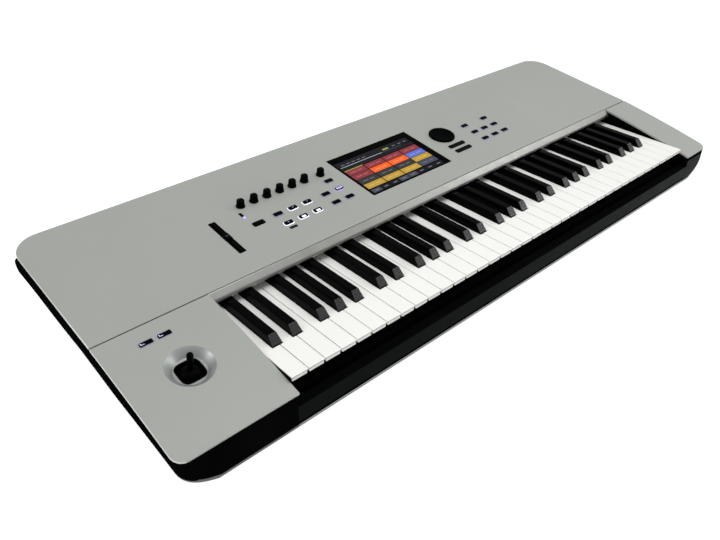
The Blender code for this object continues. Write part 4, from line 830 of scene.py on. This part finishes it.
def lamps():
    """The tall window with its lit lamp, and the small indicator window."""
    x, v = LED_PLACE
    strip = round_rect(x, v, LED_HOLE[0] - 0.0002, LED_HOLE[1] - 0.0002, 0.0017)
    lamp = round_rect(x, v - 0.0050, 0.0039, 0.0042, 0.0016)
    window = round_rect(*INDICATOR_PLACE, INDICATOR_HOLE[0] - 0.0002, INDICATOR_HOLE[1] - 0.0002, 0.0008)
    for name, outline, low, high, material, slot in (
            ("led_window", strip, -0.002, -0.0002, WIDE_CAP, "display_glass"),
            ("led_lamp", lamp, -0.0015, 0.0003, LED_BLUE, "lit_surround"),
            ("indicator_window", window, -0.002, -0.0001, WINDOW, "display_glass")):
        seat(sheet(name, [outline], low, high, material, edge=0.0001), CASING, slot)


# Screen: the picture's parts by their share of its width and height

PICTURE = (-0.0800, 0.0402, 0.0722, 0.1320)
PICTURE_DEPTH = -0.0002
TILES = (("red", "red", "red", "red"), ("red", "orange", "orange", "blue"),
         ("grey", "grey", "grey", "yellow"), ("yellow", "yellow", "yellow", "slate"))
TILE_LEFT, TILE_TOP = 0.012, 0.735
TILE_WIDTH, TILE_HEIGHT, TILE_ACROSS, TILE_DOWN = 0.236, 0.138, 0.247, 0.150
TAB_PITCH, DARK_TABS = 0.1235, (0, 3, 4)


def screen():
    left, low, right, high = PICTURE
    width, height = right - left, high - low
    rim = round_rect(*GLASS_PLACE, *GLASS_SIZE, 0.0009)
    opening = [(left, low), (right, low), (right, high), (left, high)]
    border = sheet("screen_glass", [rim, opening], -GLASS_SHEET, 0.0, GLASS, edge=0.00015)
    seat(border, CASING, "display_glass", "display_glass")
    kinds = list(SCREEN)
    bm = bmesh.new()

    def block(u0, w0, u1, w1, kind, depth=PICTURE_DEPTH):
        corners = ((u0, w0), (u1, w0), (u1, w1), (u0, w1))
        verts = [bm.verts.new((left + u * width, low + w * height, depth)) for u, w in corners]
        bm.faces.new(verts).material_index = kinds.index(kind)

    past_u, past_w = 0.0003 / width, 0.0003 / height
    block(-past_u, -past_w, 1 + past_u, 1 + past_w, "ground", -0.00035)
    block(0.0, 0.865, 1.0, 1.0, "header", -0.00028)
    block(0.0, 0.76, 1.0, 0.845, "header", -0.00028)
    block(0.02, 0.843, 0.58, 0.857, "bar")
    block(0.58, 0.843, 0.86, 0.857, "slate")
    block(0.62, 0.885, 0.70, 0.925, "tab")
    for k in range(5):
        block(0.05 + 0.07 * k, 0.90, 0.10 + 0.07 * k, 0.918, "mark")
    for k in range(3):
        block(0.76 + 0.08 * k, 0.90, 0.80 + 0.08 * k, 0.92, "mark")
    for down, line in enumerate(TILES):
        top = TILE_TOP - TILE_DOWN * down
        for across, kind in enumerate(line):
            u0 = TILE_LEFT + TILE_ACROSS * across
            block(u0, top - TILE_HEIGHT, u0 + TILE_WIDTH, top, kind)
            for start, end in ((0.040, 0.110), (0.130, 0.186)):
                block(u0 + start, top - 0.080, u0 + end, top - 0.062, TILE_MARK[kind], -0.00015)
    block(TILE_LEFT, TILE_TOP, TILE_LEFT + TILE_WIDTH, 0.752, "tab")
    for k in range(8):
        u0 = TAB_PITCH * k
        block(0.012 + u0, 0.02, 0.127 + u0, 0.115, "slate" if k in DARK_TABS else "header", -0.00025)
        block(0.045 + u0, 0.055, 0.094 + u0, 0.078, "mark")
    picture = from_bmesh("screen_picture", bm, [SCREEN[kind] for kind in kinds], PANEL)
    for face in picture.data.polygons:
        if face.normal.z < 0:
            face.flip()
    return seat(picture, CASING, "screen_image")


# Joystick and the two buttons behind it

STICK = cover_frame(-0.4580, -0.1005)
SWITCH_FRAME = cover_frame(0, -0.0486)
SWITCHES = {"switch_one_button": -0.4796, "switch_two_button": -0.4573}
BOWL_RIM, BOWL_FOOT, BOWL_DEPTH = 0.02735, 0.0186, 0.0090
BOWL_HOLE = 0.0274
BOOT_HALF, BOOT_SQUARENESS = 0.0154, 3.6
BALL_RADIUS, STICK_RADIUS, STICK_TOP, PIVOT_DEPTH = 0.0151, 0.0037, 0.0408, 0.0210


def bowl():
    """Metal bowl whose round wall runs down to a squarish opening for the boot."""
    drop = BOWL_DEPTH - 0.0001
    profile = [(BOWL_RIM, -0.0030)]
    profile += [(BOWL_RIM - (BOWL_RIM - BOWL_FOOT) * t, -0.0001 - drop * (0.75 * t + 0.25 * t * t))
                for t in (0.0, 0.1, 0.2, 0.35, 0.5, 0.65, 0.8, 0.92, 1.0)]
    turns = [2 * pi * k / 96 for k in range(96)]
    power = BOOT_SQUARENESS
    reach = [BOOT_HALF / (abs(cos(a)) ** power + abs(sin(a)) ** power) ** (1 / power) for a in turns]
    rows = [[(r * cos(a), r * sin(a), h) for a in turns] for r, h in profile]
    for h, grow in ((-BOWL_DEPTH, 0.0005), (-BOWL_DEPTH - 0.0004, 0.0), (-BOWL_DEPTH - 0.0030, 0.0)):
        rows.append([((r + grow) * cos(a), (r + grow) * sin(a), h) for r, a in zip(reach, turns)])
    bm = bmesh.new()
    loft(bm, rows)
    for face in bm.faces:
        face.material_index = 1 if face.calc_center_median().z < -BOWL_DEPTH + 0.0001 else 0
    piece = from_bmesh("joystick_bowl", bm, [BOWL, BOWL_FLOOR], STICK)
    return seat(smooth(piece, 40), CASING, "bowl_metal", "joystick_base")


def housing():
    """The base's own shape without its bowl, which the metal one stands for."""
    mesh = NODES["joystick_base"].data.copy()
    mesh.materials.clear()
    bm = bmesh.new()
    bm.from_mesh(mesh)
    inverse = STICK.inverted()

    def in_bowl(vert):
        place = inverse @ vert.co
        return place.z > -BOWL_DEPTH - 0.0003 and place.xy.length < BOWL_HOLE + 0.0001

    inside = [face for face in bm.faces if all(in_bowl(vert) for vert in face.verts)]
    bmesh.ops.delete(bm, geom=inside, context="FACES")
    bm.to_mesh(mesh)
    bm.free()
    return seat(add("joystick_housing", mesh, HULL_BLACK), CASING, "case_black", "joystick_base")


def stick():
    """Stick with the round boot at its foot, turned about the joystick's pivot."""
    top, r = STICK_TOP, STICK_RADIUS
    profile = [(0.0, top), (r * 0.45, top - 0.00015), (r * 0.75, top - 0.0006), (r * 0.94, top - 0.0015),
               (r, top - 0.0028), (r, top - 0.0120), (r * 0.98, top - 0.0145), (r * 0.86, top - 0.0170),
               (r * 0.84, 0.0156)]
    profile += [(BALL_RADIUS * sin(radians(a)), BALL_RADIUS * cos(radians(a)))
                for a in (13, 16, 20, 25, 30, 35, 40, 45)]
    profile += [(0.0060, 0.0060), (0.0060, -0.0049), (0.0, -0.0050)]
    pivot = STICK @ Matrix.Translation((0, 0, -PIVOT_DEPTH))
    lever = turned("joystick_stick", profile, 48, KNOB, pivot)
    return seat(lever, "joystick_lever", "knob_black", "joystick_lever")


def switches():
    for node, x in SWITCHES.items():
        outline = round_rect(x, 0, 0.0156, 0.0052, 0.0009)
        cap = sheet(node + "_cap", [outline], CAP_LOW, CAP_HIGH, CAP, SWITCH_FRAME, 0.0004, 3)
        seat(cap, node, "button_black", node)
        rim = [round_rect(x, 0, 0.0168, 0.0064, 0.0014), round_rect(x, 0, 0.0160, 0.0056, 0.0011)]
        ring = sheet(node + "_guide", rim, -0.0012, 0.0002, LIT_DIM, SWITCH_FRAME, 0.00008)
        seat(ring, CASING, "lit_surround")
        corner = [(-0.0068, 0.0016), (-0.0068, -0.0016), (-0.0020, -0.0016), (-0.0028, -0.0008),
                  (-0.0056, -0.0006), (-0.0060, 0.0016)]
        outline = [(x + a, b) for a, b in corner]
        mark = sheet(node + "_mark", [outline], 0.0013, 0.00167, LIT_PALE, SWITCH_FRAME, MARK_EDGE)
        seat(mark, node, "lit_surround")


def gap_shade():
    """Black blade between the left cover and the first key, put there as painted shade: it stands in for the
    shade in that gap.
    """
    front, rear, foot, top = -0.1772, -0.0700, 0.0480, 0.0640
    side = [(front, foot), (front, top - 0.0004), (front + 0.0008, top), (rear, top), (rear, foot)]
    bm = bmesh.new()
    loft(bm, [[(x, y, z) for y, z in side] for x in (-0.38505, -0.38415)], caps=True)
    return seat(smooth(from_bmesh("left_gap_shade", bm, HULL_BLACK)), CASING, "case_black")


# Rear: places seen from behind, to the right and up

REAR_FACE = Matrix(((-1, 0, 0, 0), (0, 0, 1, BLOCK_REAR), (0, 1, 0, 0), (0, 0, 0, 1)))
PROUD_FROM = -0.0002
SOCKET_Z = 0.062
JACKS_X = (0.300, 0.270, 0.225, 0.195, 0.150, 0.120, 0.090)
ROUND_X = (0.030, 0.005, -0.020)
FLAT_X = (-0.075, -0.105)
SCREWS_X, SCREWS_Z = (-0.43, -0.28, -0.14, 0.0, 0.14, 0.28, 0.43), (0.014, 0.098)
INLET = (-0.37007, 0.0283)


def fitted(name, loops, high, material, slot="steel_sheet", edge=0.0002, low=PROUD_FROM):
    """A flat fitting that stands proud of the rear panel, or lies in it."""
    return seat(sheet(name, loops, low, high, material, REAR_FACE, edge), CASING, slot)


def cross(a, b, arm, half):
    """Cross-shaped recess of a screw."""
    corner = [(arm, half), (half, half), (half, arm), (-half, arm), (-half, half), (-arm, half)]
    return [(a + p, b + q) for p, q in corner] + [(a - p, b - q) for p, q in corner]


def jacks():
    rims = [circle(a, SOCKET_Z, r, 32) for a in JACKS_X for r in (0.0066, 0.0034)]
    fitted("jack_nuts", rims, 0.0022, STEEL, edge=0.0005)
    fitted("jack_holes", [circle(a, SOCKET_Z, 0.0036, 24) for a in JACKS_X], 0.0003, HULL_BLACK, "case_black")


def round_sockets():
    rims = [circle(a, SOCKET_Z, r, 48) for a in ROUND_X for r in (0.0088, 0.0076)]
    fitted("round_socket_rims", rims, 0.0016, STEEL, edge=0.0004)
    pins = [circle(a + 0.0042 * cos(radians(t)), SOCKET_Z + 0.0042 * sin(radians(t)), 0.0008, 12)
            for a in ROUND_X for t in (0, 45, 90, 135, 180)]
    fitted("round_socket_pins", pins, 0.0005, STEEL, edge=0.0001)


def flat_sockets():
    shells = [round_rect(a, SOCKET_Z, w, d, 0.0008) for a in FLAT_X
              for w, d in ((0.0146, 0.0070), (0.0130, 0.0054))]
    fitted("flat_socket_shells", shells, 0.0009, STEEL)
    tongues = [round_rect(a, SOCKET_Z + 0.0008, 0.0112, 0.0018, 0.0003) for a in FLAT_X]
    fitted("flat_socket_tongues", tongues, 0.0006, INK, "case_black", 0.0001)


def rear_screws():
    heads = [loop for b in SCREWS_Z for a in SCREWS_X
             for loop in (circle(a, b, 0.0030, 24), cross(a, b, 0.0016, 0.00035))]
    fitted("rear_screws", heads, 0.0010, STEEL, edge=0.0003)


def inlet():
    rims = [round_rect(*INLET, 0.0300, 0.0216, 0.0020), round_rect(*INLET, 0.0249, 0.0169, 0.0010)]
    fitted("inlet_frame", rims, 0.0014, KNOB, "case_black", 0.0004)
    pins = [round_rect(INLET[0] + a, INLET[1] + b, 0.0020, 0.0040, 0.0003)
            for a, b in ((-0.007, -0.002), (0.0, 0.003), (0.007, -0.002))]
    fitted("inlet_pins", pins, -0.0050, STEEL, low=-0.0195)


# Tray, rear panel and the pieces inside

def tray_part(face):
    """Steel tray, or the rubber of its feet."""
    return 1 if face.calc_center_median().z < BASE_Z - 0.0001 else 0


def panel_part(face):
    """Board, dark switch bodies above it, or bright shafts above those."""
    height = (PANEL.inverted() @ face.calc_center_median()).z
    return 0 if height < -0.0129 else 1 if height < -0.0028 else 2


def tray_and_rear():
    refined("bottom_chassis", [STEEL, RUBBER], "steel_sheet", 0.0002, 1, split=tray_part)
    refined("rear_panel", HULL_BLACK, "case_black", 0.0003, 2)
    refined("power_button", WIDE_CAP, "button_black", 0.0006, 3)


def inside():
    """Plain finishes for the pieces that keep their own shape, then the two panel boards."""
    for node, material in (("lcd_module", STEEL), ("keybed_frame", DARK_STEEL), ("contact_board", BOARD),
                           ("main_board", BOARD), ("power_supply", STEEL), ("joystick_gimbal", HULL_BLACK)):
        NODES[node].data.materials.clear()
        NODES[node].data.materials.append(material)
    for node in ("panel_board_left", "panel_board_right"):
        refined(node, [BOARD, HULL_BLACK, STEEL], "circuit_board", 0.00015, 1, 40, panel_part)


# Floor, light and camera

STUDIO = bpy.context.scene
PHOTO_WIDTH, FOCAL_PIXELS, SENSOR = 720, 702.59, 36.0
CAMERA_PLACE = (-0.69918, -0.62263, 0.58559)
YAW, DOWN, ROLL = 0.7468, 0.6127, 0.0139


def ground():
    """White floor just below the feet."""
    mesh = bpy.data.meshes.new("floor")
    bm = bmesh.new()
    bmesh.ops.create_grid(bm, x_segments=1, y_segments=1, size=30, matrix=Matrix.Translation((0, 0, -0.0002)))
    bm.to_mesh(mesh)
    bm.free()
    white = surface("floor_white", (0.22, 0.22, 0.22), 0.9, spec=0.0, vary=0.004, vary_scale=2.0, glow=0.96,
                    glow_colour=(1.0, 1.0, 1.0))
    floor = add("floor", mesh, white)


def daylight(strength):
    """Even white light from all round."""
    world = bpy.data.worlds.new("studio")
    STUDIO.world = world
    world.use_nodes = True
    background = world.node_tree.nodes["Background"]
    background.inputs["Color"].default_value = (1.0, 1.0, 1.0, 1.0)
    background.inputs["Strength"].default_value = strength


def softbox(name, place, aim, size, power):
    """Soft rectangular light, turned towards its aim."""
    lamp = bpy.data.lights.new(name, "AREA")
    lamp.shape = "RECTANGLE"
    lamp.size, lamp.size_y = size
    lamp.energy = power
    obj = bpy.data.objects.new(name, lamp)
    obj.location = place
    obj.rotation_euler = (Vector(aim) - Vector(place)).to_track_quat("-Z", "Y").to_euler()
    STUDIO.collection.objects.link(obj)


def camera():
    """The camera that was fitted to the photograph."""
    data = bpy.data.cameras.new("camera")
    data.sensor_width = SENSOR
    data.lens = FOCAL_PIXELS * SENSOR / PHOTO_WIDTH
    data.clip_start = 0.01
    obj = bpy.data.objects.new("camera", data)
    STUDIO.collection.objects.link(obj)
    forward = Vector((sin(YAW) * cos(DOWN), cos(YAW) * cos(DOWN), -sin(DOWN)))
    level = Vector((cos(YAW), -sin(YAW), 0))
    above = level.cross(forward)
    right = cos(ROLL) * level + sin(ROLL) * above
    up = -sin(ROLL) * level + cos(ROLL) * above
    facing = Matrix((right, up, -forward)).transposed().to_4x4()
    obj.matrix_world = Matrix.Translation(CAMERA_PLACE) @ facing
    STUDIO.camera = obj


# The instrument and its studio

panel_skin()
nose()
hull("left_hull", -1, BLOCK_LEFT, "left_block")
hull("right_hull", 1, BLOCK_RIGHT, "right_block")
covers()
buttons()
knobs()
dial()
slider()
lamps()
screen()
bowl()
housing()
stick()
switches()
keys()
slip()
gap_shade()
jacks()
round_sockets()
flat_sockets()
rear_screws()
inlet()
tray_and_rear()
inside()

ground()
daylight(0.46)
softbox("top_light", (0.00, -0.25, 1.9), (0, 0, 0), (1.3, 1.1), 19)
softbox("left_light", (-2.2, 0.7, 1.6), (-0.2, 0, 0.08), (0.6, 0.45), 10)
softbox("right_light", (1.9, -0.6, 1.6), (0.1, 0, 0.08), (0.6, 0.6), 9.5)
softbox("low_right_light", (2.1, -1.7, 0.70), (0.2, -0.1, 0.08), (0.45, 0.25), 10)
camera()
STUDIO.view_settings.view_transform = "Standard"
STUDIO.view_settings.look = "None"

bpy.context.view_layer.update()
